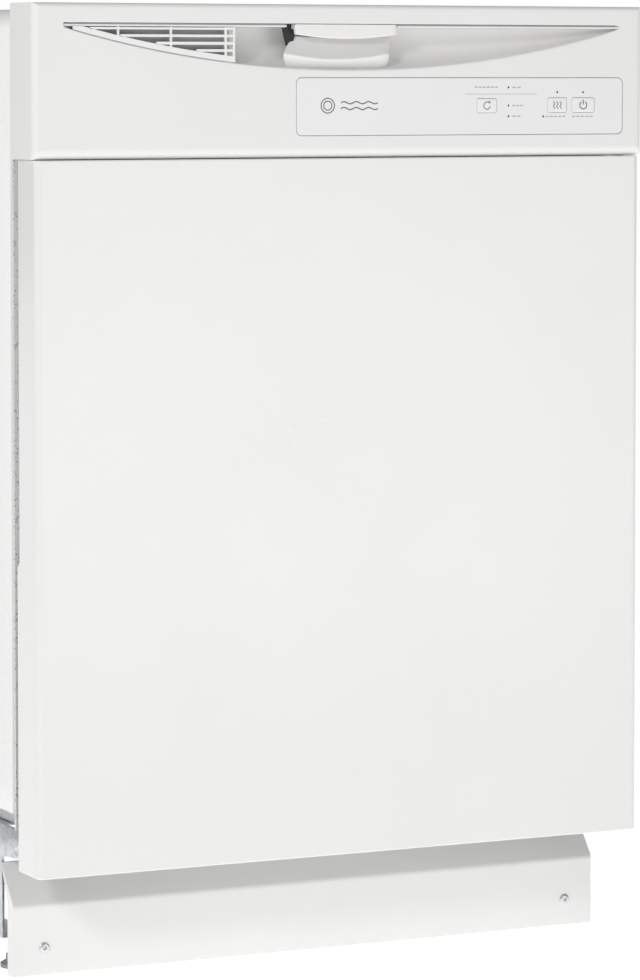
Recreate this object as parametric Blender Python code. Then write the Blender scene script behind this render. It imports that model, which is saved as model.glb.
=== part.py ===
"""Built-in dishwasher: tub, base frame, wash system, racks, and the door with its console.

Frame: metres, +Z up, the door's front faces -Y, the origin is on the floor under the middle of the cabinet.
"""

import math

import bmesh
import bpy
from mathutils import Matrix, Vector

# Driving dimensions, in metres.
WIDTH = 0.606
HEIGHT = 0.870
DEPTH = 0.635
FRONT = -DEPTH / 2
BACK = DEPTH / 2
GAP = 0.0003
CLEARANCE = 0.0005

HINGE_Y = FRONT + 0.045
HINGE_Z = 0.1215
DOOR_BACK = FRONT + 0.062
DOOR_BOTTOM = 0.1015
PANEL_TOP = 0.7325
PANEL_HALF = 0.3005
SHEET = 0.0012

CONSOLE_BOTTOM = 0.733
CONSOLE_DEPTH = 0.055
CONSOLE_WALL = 0.003
CONSOLE_FACE = 0.0045
EDGE_RADIUS = 0.006

POCKET_TOP = 0.8535
POCKET_LEFT = -0.275
POCKET_RIGHT = 0.280
POCKET_ARC_X = 0.006
POCKET_ARC_LOW = 0.8128
POCKET_ARC_RADIUS = 1.030
POCKET_DEPTH = 0.034
LEVER_HALF = 0.0505

OVERLAY = (-0.0507, 0.2818, 0.7530, 0.8044)
OVERLAY_FRONT = FRONT + 0.0003
OVERLAY_BACK = FRONT + 0.0022
BUTTONS = {
    "button_cycles": (0.1306, 0.1507, 0.7727, 0.7856),
    "button_heat_dry": (0.2038, 0.2233, 0.7727, 0.7862),
    "button_start": (0.2290, 0.2523, 0.7727, 0.7862),
}
BUTTON_LENGTH = 0.0115

TUB_FRONT = FRONT + 0.066
TUB_BACK = 0.300
TUB_HALF = 0.284
TUB_BOTTOM = 0.135
TUB_TOP = 0.850
TUB_WALL = 0.004
FLANGE_HALF = 0.296
FLANGE_TOP = 0.858
FLANGE_DEPTH = 0.003
FLOOR_TOP = TUB_BOTTOM + TUB_WALL

RAIL_FRONT = FRONT + 0.1105
RAIL_BOTTOM = 0.030
RAIL_TOP = 0.1345
RAIL_WEB = (0.2900, 0.2925)
RAIL_FLANGE_X = 0.262
RAIL_EAR_BELOW = 0.012
RAIL_EAR_ROOT = 0.105
HINGE_PIN_HOLE = 0.0043
BRACE_Z = (0.012, 0.058)
BRACE_DEPTH = 0.020
REAR_RAIL_Z = (0.040, 0.122)
REAR_RAIL_DEPTH = 0.014
STEEL = 0.0025

TOE_FRONT = FRONT + 0.077
TOE_HALF = 0.2945
TOE_BEND = 0.0635
TOE_TOP = 0.100
TOE_SET_BACK = 0.030
TOE_SHEET = 0.0015
TOE_SCREW_X = 0.265
TOE_SCREW_Z = 0.025
TOE_RETURN = 0.015
SCREW_SHANK = 0.0020
SCREW_HOLE = 0.0026
SCREW_HEAD = 0.0050
SCREW_SLOT = 0.0010

LEG_X = 0.274
LEG_FRONT_Y = FRONT + 0.125
LEG_BACK_Y = 0.262
LEG_STEM = 0.005
LEG_FOOT = 0.014
LEG_COLLAR = 0.009
LEG_COLLAR_Z = (0.007, 0.012)
LEG_HEIGHT = 0.062

LEDGE_TOP = 0.1455
WHEEL_RADIUS = 0.018
WHEEL_X = (0.2435, 0.2555)
WHEEL_Z = LEDGE_TOP + GAP + WHEEL_RADIUS
WHEEL_FRONT_Y = -0.0975
WHEEL_BACK_Y = 0.200

LOWER_RACK = (0.240, -0.2215, 0.265, 0.205, 0.400)
UPPER_RACK = (0.250, -0.2350, 0.255, 0.505, 0.640)
RACK_WIRE = 0.004
RAIL_SLIDE_Z = (0.600, 0.625)
RAIL_SLIDE_Y = (-0.240, 0.260)

SUMP_RADIUS = 0.085
POST_RADIUS = 0.018
POST_TOP = 0.150
FILTER_Y = -0.048
FLOAT_AT = (-0.200, -0.200)
HEATER_RADIUS = 0.185
HEATER_TUBE = 0.004
HEATER_Z = 0.1475
HEATER_LEG_X = 0.020

ARM_HUB = 0.0235
BLADE_HALF = 0.005
BLADE_TIP = 0.011
BLADE_WAIST = 0.020
BLADE_SHOULDER = 0.060
JET_LENGTH = 0.012
JET_WIDTH = 0.0024
EAR_NOTCH_X = 0.284

DISPENSER = (-0.085, 0.075, 0.390, 0.500)
CUP = (-0.075, -0.005, 0.420, 0.462)
LID_AXIS_X = -0.078
RINSE_AT = (0.045, 0.445)

LINK_X = 0.271
LINK_Z = 0.115
LINK_BACK = 0.050


# Colours: name to (linear RGB, roughness, metallic).
FINISHES = {
    "white_paint": ((0.80, 0.80, 0.79), 0.35, 0.0),
    "white_plastic": ((0.82, 0.82, 0.81), 0.40, 0.0),
    "grey_plastic": ((0.42, 0.43, 0.44), 0.45, 0.0),
    "dark_plastic": ((0.05, 0.05, 0.055), 0.50, 0.0),
    "liner_plastic": ((0.62, 0.63, 0.64), 0.45, 0.0),
    "galvanised_steel": ((0.55, 0.56, 0.57), 0.38, 1.0),
    "stainless_steel": ((0.60, 0.60, 0.61), 0.25, 1.0),
    "spring_steel": ((0.35, 0.35, 0.36), 0.35, 1.0),
    "rubber": ((0.06, 0.06, 0.06), 0.70, 0.0),
    "white_fibre": ((0.78, 0.78, 0.77), 0.90, 0.0),
    "nylon_coating": ((0.50, 0.53, 0.57), 0.40, 0.0),
    "circuit_board": ((0.03, 0.20, 0.08), 0.45, 0.0),
}


def clear_scene():
    for obj in list(bpy.data.objects):
        bpy.data.objects.remove(obj, do_unlink=True)


def finish(name):
    """The Principled material of one named finish, made once."""
    found = bpy.data.materials.get(name)
    if found:
        return found
    colour, roughness, metallic = FINISHES[name]
    material = bpy.data.materials.new(name)
    material.use_nodes = True
    shader = material.node_tree.nodes["Principled BSDF"]
    shader.inputs["Base Color"].default_value = (*colour, 1.0)
    shader.inputs["Roughness"].default_value = roughness
    shader.inputs["Metallic"].default_value = metallic
    return material


def add_box(bm, x, y, z):
    """A closed box between two values on each axis; returns its vertices."""
    size = Vector((x[1] - x[0], y[1] - y[0], z[1] - z[0]))
    centre = Vector((sum(x) / 2, sum(y) / 2, sum(z) / 2))
    matrix = Matrix.Translation(centre) @ Matrix.Diagonal((*size, 1.0))
    return bmesh.ops.create_cube(bm, size=1.0, matrix=matrix)["verts"]


AXIS_TURN = {
    "x": Matrix.Rotation(math.pi / 2, 4, "Y"),
    "y": Matrix.Rotation(-math.pi / 2, 4, "X"),
    "z": Matrix.Identity(4),
}


def add_cylinder(bm, centre, radius, length, axis="z", sides=24, top_radius=None):
    """A closed cylinder, or a cone with its own top radius, centred on a point."""
    top = radius if top_radius is None else top_radius
    bmesh.ops.create_cone(
        bm, cap_ends=True, segments=sides, radius1=radius, radius2=top, depth=length,
        matrix=Matrix.Translation(Vector(centre)) @ AXIS_TURN[axis],
    )


def add_prism(bm, outline, low, high, axis="y"):
    """A closed prism: an outline in the two other axes, swept from low to high along the axis."""
    def place(a, b, c):
        return {"x": (c, a, b), "y": (a, c, b), "z": (a, b, c)}[axis]

    near = [bm.verts.new(place(a, b, low)) for a, b in outline]
    far = [bm.verts.new(place(a, b, high)) for a, b in outline]
    count = len(outline)
    made = [bm.faces.new(near), bm.faces.new(far)]
    for i in range(count):
        j = (i + 1) % count
        made.append(bm.faces.new((near[i], near[j], far[j], far[i])))
    bmesh.ops.recalc_face_normals(bm, faces=made)


def rounded_rectangle(x0, x1, z0, z1, radius, steps=4):
    """Corner arcs of a rectangle, counter-clockwise from the lower right."""
    corners = ((x1 - radius, z0 + radius, -90), (x1 - radius, z1 - radius, 0),
               (x0 + radius, z1 - radius, 90), (x0 + radius, z0 + radius, 180))
    points = []
    for cx, cz, start in corners:
        for i in range(steps + 1):
            angle = math.radians(start + 90 * i / steps)
            points.append((cx + radius * math.cos(angle), cz + radius * math.sin(angle)))
    return points


def pocket_low(x, grow=0.0):
    """Height of the handle pocket's lower arc at x, for an arc grown outward by a margin."""
    radius = POCKET_ARC_RADIUS + grow
    centre_z = POCKET_ARC_LOW + POCKET_ARC_RADIUS
    return centre_z - math.sqrt(radius ** 2 - (x - POCKET_ARC_X) ** 2)


def pocket_outline(left, right, grow=0.0, steps=28):
    """The crescent: a straight top line and the arc below it."""
    points = [(right + grow, POCKET_TOP + grow), (left - grow, POCKET_TOP + grow)]
    for i in range(steps + 1):
        x = left - grow + (right - left + 2 * grow) * i / steps
        points.append((x, min(pocket_low(x, grow), POCKET_TOP + grow - 0.0006)))
    return points


def add_lathe(bm, profile, centre, sides=32):
    """A closed solid turned about Z from (radius, z) points that start and end on the axis."""
    rings = []
    for radius, z in profile:
        if radius == 0:
            rings.append([bm.verts.new((centre[0], centre[1], z))])
            continue
        turn = [2 * math.pi * i / sides for i in range(sides)]
        rings.append([bm.verts.new((centre[0] + radius * math.cos(t), centre[1] + radius * math.sin(t), z))
                      for t in turn])
    made = []
    for lower, upper in zip(rings, rings[1:]):
        for i in range(sides):
            j = (i + 1) % sides
            ring = [lower[i % len(lower)], lower[j % len(lower)],
                    upper[j % len(upper)], upper[i % len(upper)]]
            made.append(bm.faces.new(list(dict.fromkeys(ring))))
    bmesh.ops.recalc_face_normals(bm, faces=made)


def add_object(name, bm, finish_name, origin=(0.0, 0.0, 0.0), parent=None):
    """Makes the object of a mesh drawn in world places, with its own origin at a joint's axis."""
    bmesh.ops.translate(bm, vec=-Vector(origin), verts=bm.verts)
    mesh = bpy.data.meshes.new(name)
    bm.to_mesh(mesh)
    bm.free()
    mesh.shade_smooth()
    mesh.set_sharp_from_angle(angle=math.radians(35))
    mesh.materials.append(finish(finish_name))
    obj = bpy.data.objects.new(name, mesh)
    bpy.context.scene.collection.objects.link(obj)
    obj.location = origin
    if parent:
        obj.parent = parent
        obj.matrix_parent_inverse = Matrix.Translation(-parent.location)
    return obj


def add_pivot(name, origin):
    """An empty on a joint's axis, which the pieces of that body are parented to."""
    empty = bpy.data.objects.new(name, None)
    bpy.context.scene.collection.objects.link(empty)
    empty.location = origin
    return empty


def combine(target, operation, tool_name, bm):
    """A Boolean on the target with a hidden tool drawn in world places."""
    mesh = bpy.data.meshes.new(tool_name)
    bm.to_mesh(mesh)
    bm.free()
    tool = bpy.data.objects.new(tool_name, mesh)
    bpy.context.scene.collection.objects.link(tool)
    tool.hide_render = True
    tool.display_type = "WIRE"
    modifier = target.modifiers.new(tool_name, "BOOLEAN")
    modifier.operation = operation
    modifier.solver = "EXACT"
    modifier.object = tool


def bevel_front(bm, verts, y_front, radius, segments=4):
    """Rounds a box's edges that touch its front face."""
    edges = {e for v in verts for e in v.link_edges
             if all(abs(w.co.y - y_front) < 1e-6 for w in e.verts)}
    bmesh.ops.bevel(bm, geom=list(edges), offset=radius, segments=segments, profile=0.5, affect="EDGES")


# ---------------------------------------------------------------- cabinet

def build_tub():
    bm = bmesh.new()
    add_box(bm, (-TUB_HALF, TUB_HALF), (TUB_FRONT + 0.001, TUB_BACK), (TUB_BOTTOM, TUB_TOP))
    tub = add_object("tub", bm, "liner_plastic")

    bm = bmesh.new()
    add_box(bm, (-FLANGE_HALF, FLANGE_HALF), (TUB_FRONT, TUB_FRONT + FLANGE_DEPTH), (TUB_BOTTOM, FLANGE_TOP))
    combine(tub, "UNION", "tub_flange", bm)

    inner = TUB_HALF - TUB_WALL
    bm = bmesh.new()
    add_box(bm, (-inner, inner), (TUB_FRONT - 0.01, TUB_BACK - TUB_WALL), (FLOOR_TOP, TUB_TOP - TUB_WALL))
    combine(tub, "DIFFERENCE", "tub_hollow", bm)

    bm = bmesh.new()
    for side in (-1, 1):
        edge = inner + 0.001
        add_box(bm, sorted((side * 0.238, side * edge)), (TUB_FRONT + 0.002, 0.290),
                (FLOOR_TOP - 0.001, LEDGE_TOP))
        add_box(bm, sorted((side * 0.266, side * edge)), (-0.22, 0.24),
                (RAIL_SLIDE_Z[0] + 0.004, RAIL_SLIDE_Z[1] - 0.004))
    add_cylinder(bm, (*FLOAT_AT, 0.149), 0.008, 0.022)
    combine(tub, "UNION", "tub_ledges", bm)

    bm = bmesh.new()
    add_cylinder(bm, (0, 0, TUB_BOTTOM), 0.080, 0.020, sides=40)
    for x in (-HEATER_LEG_X, HEATER_LEG_X):
        add_cylinder(bm, (x, HEATER_RADIUS, TUB_BOTTOM), HEATER_TUBE + 0.001, 0.020, sides=16)
    combine(tub, "DIFFERENCE", "tub_holes", bm)


def build_blanket():
    """A felt jacket over the tub's sides, top and back, open to the front and below."""
    half = FLANGE_HALF + 0.0015
    start = TUB_FRONT + FLANGE_DEPTH + CLEARANCE
    bm = bmesh.new()
    add_box(bm, (-half, half), (start, BACK), (0.150, 0.8655))
    blanket = add_object("insulation_blanket", bm, "white_fibre")
    bm = bmesh.new()
    add_box(bm, (-TUB_HALF - GAP, TUB_HALF + GAP), (start - 0.01, TUB_BACK + GAP), (0.10, TUB_TOP + GAP))
    combine(blanket, "DIFFERENCE", "blanket_hollow", bm)


def build_side_rail(side, label):
    """A folded channel with an ear that carries the door's pivot."""
    web = sorted((side * RAIL_WEB[0], side * RAIL_WEB[1]))
    reach = sorted((side * RAIL_FLANGE_X, side * (RAIL_WEB[0] + 0.001)))
    bm = bmesh.new()
    add_prism(bm, [(RAIL_FRONT, RAIL_BOTTOM), (TUB_BACK, RAIL_BOTTOM), (TUB_BACK, RAIL_TOP),
                   (HINGE_Y - 0.009, RAIL_TOP), (HINGE_Y - 0.009, HINGE_Z - 0.009),
                   (HINGE_Y + RAIL_EAR_BELOW, HINGE_Z - RAIL_EAR_BELOW), (RAIL_FRONT, RAIL_EAR_ROOT)],
              *web, axis="x")
    rail = add_object(f"side_rail_{label}", bm, "galvanised_steel")
    bm = bmesh.new()
    for low in (RAIL_BOTTOM, RAIL_TOP - STEEL):
        add_box(bm, reach, (RAIL_FRONT, TUB_BACK), (low, low + STEEL))
    combine(rail, "UNION", f"rail_flanges_{label}", bm)
    bm = bmesh.new()
    for y in (LEG_FRONT_Y, LEG_BACK_Y):
        add_cylinder(bm, (side * LEG_X, y, RAIL_BOTTOM), LEG_STEM + GAP, 0.020, sides=20)
    add_cylinder(bm, (side * RAIL_WEB[0], HINGE_Y, HINGE_Z), HINGE_PIN_HOLE, 0.02, axis="x", sides=20)
    combine(rail, "DIFFERENCE", f"rail_holes_{label}", bm)


def channel_outline(y0, y1, z0, z1, wall):
    """A C section open at its low end of y or its high end, given by the order of y0 and y1."""
    step = wall if y1 > y0 else -wall
    return [(y0, z0), (y1, z0), (y1, z0 + wall), (y0 + step, z0 + wall),
            (y0 + step, z1 - wall), (y1, z1 - wall), (y1, z1), (y0, z1)]


def build_cross_members():
    half = RAIL_WEB[0] - 0.001
    bm = bmesh.new()
    front = TOE_FRONT + TOE_SHEET + CLEARANCE
    add_prism(bm, channel_outline(front, front + BRACE_DEPTH, *BRACE_Z, 0.002), -half, half, axis="x")
    brace = add_object("front_cross_brace", bm, "galvanised_steel")
    bm = bmesh.new()
    for side in (-1, 1):
        add_cylinder(bm, (side * TOE_SCREW_X, front, TOE_SCREW_Z), 0.0023, 0.012, axis="y", sides=16)
    combine(brace, "DIFFERENCE", "brace_holes", bm)

    bm = bmesh.new()
    outline = channel_outline(TUB_BACK, TUB_BACK - REAR_RAIL_DEPTH, *REAR_RAIL_Z, 0.002)
    add_prism(bm, outline, -half, half, axis="x")
    add_object("rear_cross_rail", bm, "galvanised_steel")


def build_legs():
    for side, label in ((-1, "left"), (1, "right")):
        for y, end in ((LEG_FRONT_Y, "front"), (LEG_BACK_Y, "rear")):
            profile = [(0, 0), (LEG_FOOT, 0), (LEG_FOOT, 0.004), (LEG_COLLAR, LEG_COLLAR_Z[0]),
                       (LEG_COLLAR, LEG_COLLAR_Z[1]), (LEG_STEM, LEG_COLLAR_Z[1]), (LEG_STEM, LEG_HEIGHT),
                       (0, LEG_HEIGHT)]
            bm = bmesh.new()
            add_lathe(bm, profile, (side * LEG_X, y), sides=20)
            add_object(f"levelling_leg_{end}_{label}", bm, "grey_plastic", (side * LEG_X, y, RAIL_BOTTOM))


def build_toe_kick():
    """A sheet folded back under the door, with a return at each end."""
    top_y = TOE_FRONT + TOE_SET_BACK
    bm = bmesh.new()
    add_prism(bm, [(TOE_FRONT, 0), (TOE_FRONT + TOE_SHEET, 0), (TOE_FRONT + TOE_SHEET, TOE_BEND),
                   (top_y + TOE_SHEET, TOE_TOP), (top_y, TOE_TOP), (TOE_FRONT, TOE_BEND)],
              -TOE_HALF, TOE_HALF, axis="x")
    toe = add_object("toe_kick_panel", bm, "white_paint")
    bm = bmesh.new()
    for side in (-1, 1):
        end = sorted((side * TOE_HALF, side * (TOE_HALF - TOE_SHEET)))
        add_box(bm, end, (TOE_FRONT, TOE_FRONT + TOE_RETURN), (0, TOE_BEND - 0.004))
    combine(toe, "UNION", "toe_returns", bm)
    bm = bmesh.new()
    for side in (-1, 1):
        add_cylinder(bm, (side * TOE_SCREW_X, TOE_FRONT, TOE_SCREW_Z), SCREW_HOLE, 0.010, axis="y", sides=16)
    combine(toe, "DIFFERENCE", "toe_holes", bm)

    for side, label in ((-1, "left"), (1, "right")):
        bm = bmesh.new()
        x, z = side * TOE_SCREW_X, TOE_SCREW_Z
        add_cylinder(bm, (x, TOE_FRONT + 0.004, z), SCREW_SHANK, 0.009, axis="y", sides=12)
        screw = add_object(f"toe_screw_{label}", bm, "stainless_steel")
        bm = bmesh.new()
        add_cylinder(bm, (x, TOE_FRONT - 0.0011, z), SCREW_HEAD, 0.0016, axis="y", sides=20)
        combine(screw, "UNION", f"screw_head_{label}", bm)
        bm = bmesh.new()
        half_slot = SCREW_SLOT / 2
        add_box(bm, (x - 0.006, x + 0.006), (TOE_FRONT - 0.003, TOE_FRONT - 0.0012),
                (z - half_slot, z + half_slot))
        combine(screw, "DIFFERENCE", f"screw_slot_{label}", bm)


def build_front_fittings():
    """The door seal, the latch strike and the two brackets that screw up into a worktop."""
    front, back = DOOR_BACK + GAP, TUB_FRONT - GAP
    inner = TUB_HALF - TUB_WALL + CLEARANCE
    outer = inner + 0.0055
    low, high = 0.150, TUB_TOP - TUB_WALL
    bm = bmesh.new()
    add_prism(bm, [(-outer, low), (-inner, low), (-inner, high), (inner, high), (inner, low), (outer, low),
                   (outer, high + 0.006), (-outer, high + 0.006)], front, back, axis="y")
    add_object("tub_gasket", bm, "rubber")

    bm = bmesh.new()
    add_box(bm, (-0.030, 0.030), (TUB_FRONT - 0.0025, back), (0.8535, FLANGE_TOP))
    strike = add_object("strike_plate", bm, "stainless_steel")
    bm = bmesh.new()
    add_box(bm, (-0.012, 0.012), (FRONT + 0.046, TUB_FRONT - 0.0015), (0.8545, 0.8565))
    combine(strike, "UNION", "strike_tongue", bm)

    for side, label in ((-1, "left"), (1, "right")):
        x = side * 0.180
        bm = bmesh.new()
        add_prism(bm, [(TUB_FRONT - 0.0020, 0.8540), (back, 0.8540), (back, 0.8660), (FRONT + 0.090, 0.8660),
                       (FRONT + 0.090, 0.8675), (TUB_FRONT - 0.0020, 0.8675)], x - 0.015, x + 0.015, axis="x")
        bracket = add_object(f"counter_bracket_{label}", bm, "galvanised_steel")
        bm = bmesh.new()
        add_cylinder(bm, (x, FRONT + 0.080, 0.867), 0.0025, 0.010, sides=16)
        combine(bracket, "DIFFERENCE", f"bracket_hole_{label}", bm)


def build_balance():
    """A pull link and a coil spring on each side, from the rear rail towards the hinge."""
    for side, label in ((-1, "left"), (1, "right")):
        x = side * LINK_X
        link_pivot = add_pivot(f"link_axis_{label}", (x, LINK_BACK, LINK_Z))
        bm = bmesh.new()
        add_box(bm, (x - 0.001, x + 0.001), (FRONT + 0.145, LINK_BACK), (LINK_Z - 0.006, LINK_Z + 0.006))
        link = add_object(f"balance_link_{label}", bm, "galvanised_steel", (x, LINK_BACK, LINK_Z), link_pivot)
        bm = bmesh.new()
        add_cylinder(bm, (x, FRONT + 0.155, LINK_Z), 0.0025, 0.01, axis="x", sides=16)
        combine(link, "DIFFERENCE", f"link_eye_{label}", bm)
        bm = bmesh.new()
        start, end = LINK_BACK + CLEARANCE, TUB_BACK - 0.0145
        add_cylinder(bm, (x, (start + end) / 2, LINK_Z), 0.007, end - start, axis="y", sides=16)
        add_object(f"door_spring_{label}", bm, "spring_steel")


# ---------------------------------------------------------------- wash system

def build_sump():
    bm = bmesh.new()
    top = TUB_BOTTOM - CLEARANCE
    add_lathe(bm, [(0, 0.055), (0.055, 0.055), (SUMP_RADIUS, 0.080), (SUMP_RADIUS, top - 0.004),
                   (0.095, top - 0.004), (0.095, top), (0.079, top), (0.079, 0.084), (0.052, 0.062),
                   (POST_RADIUS, 0.062), (POST_RADIUS, POST_TOP), (0, POST_TOP)], (0, 0))
    add_object("sump_housing", bm, "dark_plastic")

    bm = bmesh.new()
    add_lathe(bm, [(0, 0.078), (0.020, 0.078), (0.020, 0.125), (0.0275, 0.125), (0.0275, 0.1405),
                   (0, 0.1405)], (0, FILTER_Y), sides=28)
    strainer = add_object("sump_filter", bm, "grey_plastic", (0, FILTER_Y, 0.1405))
    bm = bmesh.new()
    add_box(bm, (-0.020, 0.020), (FILTER_Y - 0.002, FILTER_Y + 0.002), (0.1400, 0.1470))
    combine(strainer, "UNION", "filter_grip", bm)

    bm = bmesh.new()
    add_cylinder(bm, (0.165, 0, 0.084), 0.040, 0.110, axis="x", sides=28)
    motor = add_object("wash_motor", bm, "galvanised_steel")
    bm = bmesh.new()
    add_cylinder(bm, (0.099, 0, 0.084), 0.026, 0.026, axis="x")
    add_box(bm, (0.12, 0.21), (-0.012, 0.012), (0.028, 0.050))
    combine(motor, "UNION", "motor_nose", bm)

    bm = bmesh.new()
    add_cylinder(bm, (-0.122, 0.02, 0.080), 0.024, 0.070, axis="x")
    pump = add_object("drain_pump", bm, "grey_plastic")
    bm = bmesh.new()
    add_cylinder(bm, (-0.130, 0.055, 0.080), 0.010, 0.070, axis="y", sides=16)
    combine(pump, "UNION", "drain_spout", bm)


def add_tube(name, points, radius, finish_name, resolution=3):
    """A round bar along a smooth route."""
    curve = bpy.data.curves.new(name, "CURVE")
    curve.dimensions = "3D"
    curve.bevel_depth = radius
    curve.bevel_resolution = resolution
    curve.use_fill_caps = True
    spline = curve.splines.new("POLY")
    spline.points.add(len(points) - 1)
    for point, place in zip(spline.points, points):
        point.co = (*place, 1.0)
    curve.materials.append(finish(finish_name))
    obj = bpy.data.objects.new(name, curve)
    bpy.context.scene.collection.objects.link(obj)
    return obj


def arc_points(centre, radius, start, end, count, z):
    """Points on a level arc, from one angle to another in degrees."""
    angles = [math.radians(start + (end - start) * i / count) for i in range(count + 1)]
    return [(centre[0] + radius * math.cos(a), centre[1] + radius * math.sin(a), z) for a in angles]


def build_wash_fittings():
    lean = math.degrees(math.asin(HEATER_LEG_X / HEATER_RADIUS))
    ring = arc_points((0, 0), HEATER_RADIUS, 90 + lean + 4, 450 - lean - 4, 44, HEATER_Z)
    legs = [[(side * HEATER_LEG_X, HEATER_RADIUS, z) for z in (HEATER_Z - 0.0015, 0.118)] for side in (-1, 1)]
    add_tube("heating_element", legs[0][::-1] + ring + legs[1], HEATER_TUBE, "spring_steel", 2)

    route = []
    for i in range(15):
        t = i / 14
        ease = 3 * t * t - 2 * t ** 3
        route.append((-0.190 + 0.104 * t, -0.148 + 0.118 * ease, 0.085 + 0.018 * math.sin(math.pi * t)))
    add_tube("fill_pipe", route, 0.006, "dark_plastic", 2)

    bm = bmesh.new()
    add_box(bm, (-0.235, -0.1975), (-0.175, -0.125), (0.060, 0.098))
    valve = add_object("water_inlet_valve", bm, "grey_plastic")
    bm = bmesh.new()
    add_cylinder(bm, (-0.216, -0.190, 0.078), 0.011, 0.040, axis="y", sides=20)
    add_cylinder(bm, (-0.2165, -0.150, 0.105), 0.014, 0.020, sides=20)
    combine(valve, "UNION", "valve_ports", bm)

    bm = bmesh.new()
    add_box(bm, (0.165, 0.250), (FRONT + 0.125, FRONT + 0.185), (0.045, 0.110))
    box = add_object("junction_box", bm, "galvanised_steel")
    bm = bmesh.new()
    add_box(bm, (0.1665, 0.2485), (FRONT + 0.1265, FRONT + 0.1835), (0.0465, 0.120))
    combine(box, "DIFFERENCE", "junction_hollow", bm)

    bm = bmesh.new()
    add_cylinder(bm, (0, 0.283, (0.1395 + 0.833) / 2), 0.009, 0.833 - 0.1395, sides=16)
    pipe = add_object("water_supply_tube", bm, "grey_plastic")
    bm = bmesh.new()
    add_cylinder(bm, (0, 0.140, 0.828), 0.0075, 0.282, axis="y", sides=16)
    combine(pipe, "UNION", "tube_top_run", bm)
    bm = bmesh.new()
    add_cylinder(bm, (0, 0.272, 0.497), 0.0062, 0.016, axis="y", sides=16)
    combine(pipe, "UNION", "tube_dock", bm)
    bm = bmesh.new()
    add_lathe(bm, [(0, 0.806), (0.030, 0.806), (0.030, 0.812), (0.012, 0.818), (0.012, 0.830), (0, 0.830)],
              (0, 0), sides=24)
    combine(pipe, "UNION", "tube_nozzle", bm)

    bm = bmesh.new()
    add_lathe(bm, [(0, 0.1640), (0.010, 0.1640), (0.010, 0.1415), (0.024, 0.1415), (0.024, 0.168),
                   (0.018, 0.175), (0, 0.175)], FLOAT_AT, sides=24)
    add_object("float_cap", bm, "grey_plastic", (*FLOAT_AT, FLOOR_TOP))


def build_spray_arm(name, centre, low, high, reach, finish_name):
    """A flat two-blade arm with a round hub and a row of jets in each blade."""
    bm = bmesh.new()
    tip, waist, shoulder = BLADE_TIP, BLADE_WAIST, BLADE_SHOULDER
    outline = [(reach, -tip), (reach, tip), (shoulder, waist), (-shoulder, waist), (-reach, tip),
               (-reach, -tip), (-shoulder, -waist), (shoulder, -waist)]
    middle = (low + high) / 2
    blades = [(centre[0] + a, centre[1] + b) for a, b in outline]
    add_prism(bm, blades, middle - BLADE_HALF, middle + BLADE_HALF, axis="z")
    arm = add_object(name, bm, finish_name, (*centre, low))
    bm = bmesh.new()
    add_cylinder(bm, (*centre, middle), ARM_HUB, high - low)
    combine(arm, "UNION", f"{name}_hub", bm)
    bm = bmesh.new()
    for side in (-1, 1):
        for step in (0.35, 0.62, 0.90):
            jet = centre[0] + side * step * reach
            add_box(bm, (jet - JET_LENGTH / 2, jet + JET_LENGTH / 2),
                    (centre[1] - JET_WIDTH / 2, centre[1] + JET_WIDTH / 2), (middle + 0.003, high + 0.01))
    combine(arm, "DIFFERENCE", f"{name}_jets", bm)


# ---------------------------------------------------------------- racks

def add_grid_bin(bm, x, y, z, cells):
    """The faces of an open-topped bin, divided so that its edges are the wires."""
    def lines(pair, count):
        return [pair[0] + (pair[1] - pair[0]) * i / count for i in range(count + 1)]

    xs, ys, zs = (lines(pair, count) for pair, count in zip((x, y, z), cells))
    found = {}

    def vert(*place):
        key = tuple(round(v, 6) for v in place)
        if key not in found:
            found[key] = bm.verts.new(place)
        return found[key]

    for i in range(cells[0]):
        for j in range(cells[1]):
            corners = ((i, j), (i, j + 1), (i + 1, j + 1), (i + 1, j))
            bm.faces.new([vert(xs[a], ys[b], zs[0]) for a, b in corners])
    for k in range(cells[2]):
        for i in range(cells[0]):
            for end, order in ((0, (0, 1)), (-1, (1, 0))):
                a, b = i + order[0], i + order[1]
                bm.faces.new([vert(xs[a], ys[end], zs[k]), vert(xs[b], ys[end], zs[k]),
                              vert(xs[b], ys[end], zs[k + 1]), vert(xs[a], ys[end], zs[k + 1])])
        for j in range(cells[1]):
            for end, order in ((0, (1, 0)), (-1, (0, 1))):
                a, b = j + order[0], j + order[1]
                bm.faces.new([vert(xs[end], ys[a], zs[k]), vert(xs[end], ys[b], zs[k]),
                              vert(xs[end], ys[b], zs[k + 1]), vert(xs[end], ys[a], zs[k + 1])])


def build_rack(name, sizes, cells, pivot):
    half, front, back, low, high = sizes
    bm = bmesh.new()
    inset = RACK_WIRE / 2
    add_grid_bin(bm, (-half + inset, half - inset), (front + inset, back - inset),
                 (low + inset, high - inset), cells)
    rack = add_object(name, bm, "nylon_coating", pivot.location, pivot)
    wires = rack.modifiers.new("wires", "WIREFRAME")
    wires.thickness = RACK_WIRE
    wires.use_replace = True
    wires.use_boundary = True
    wires.use_even_offset = True


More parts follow.
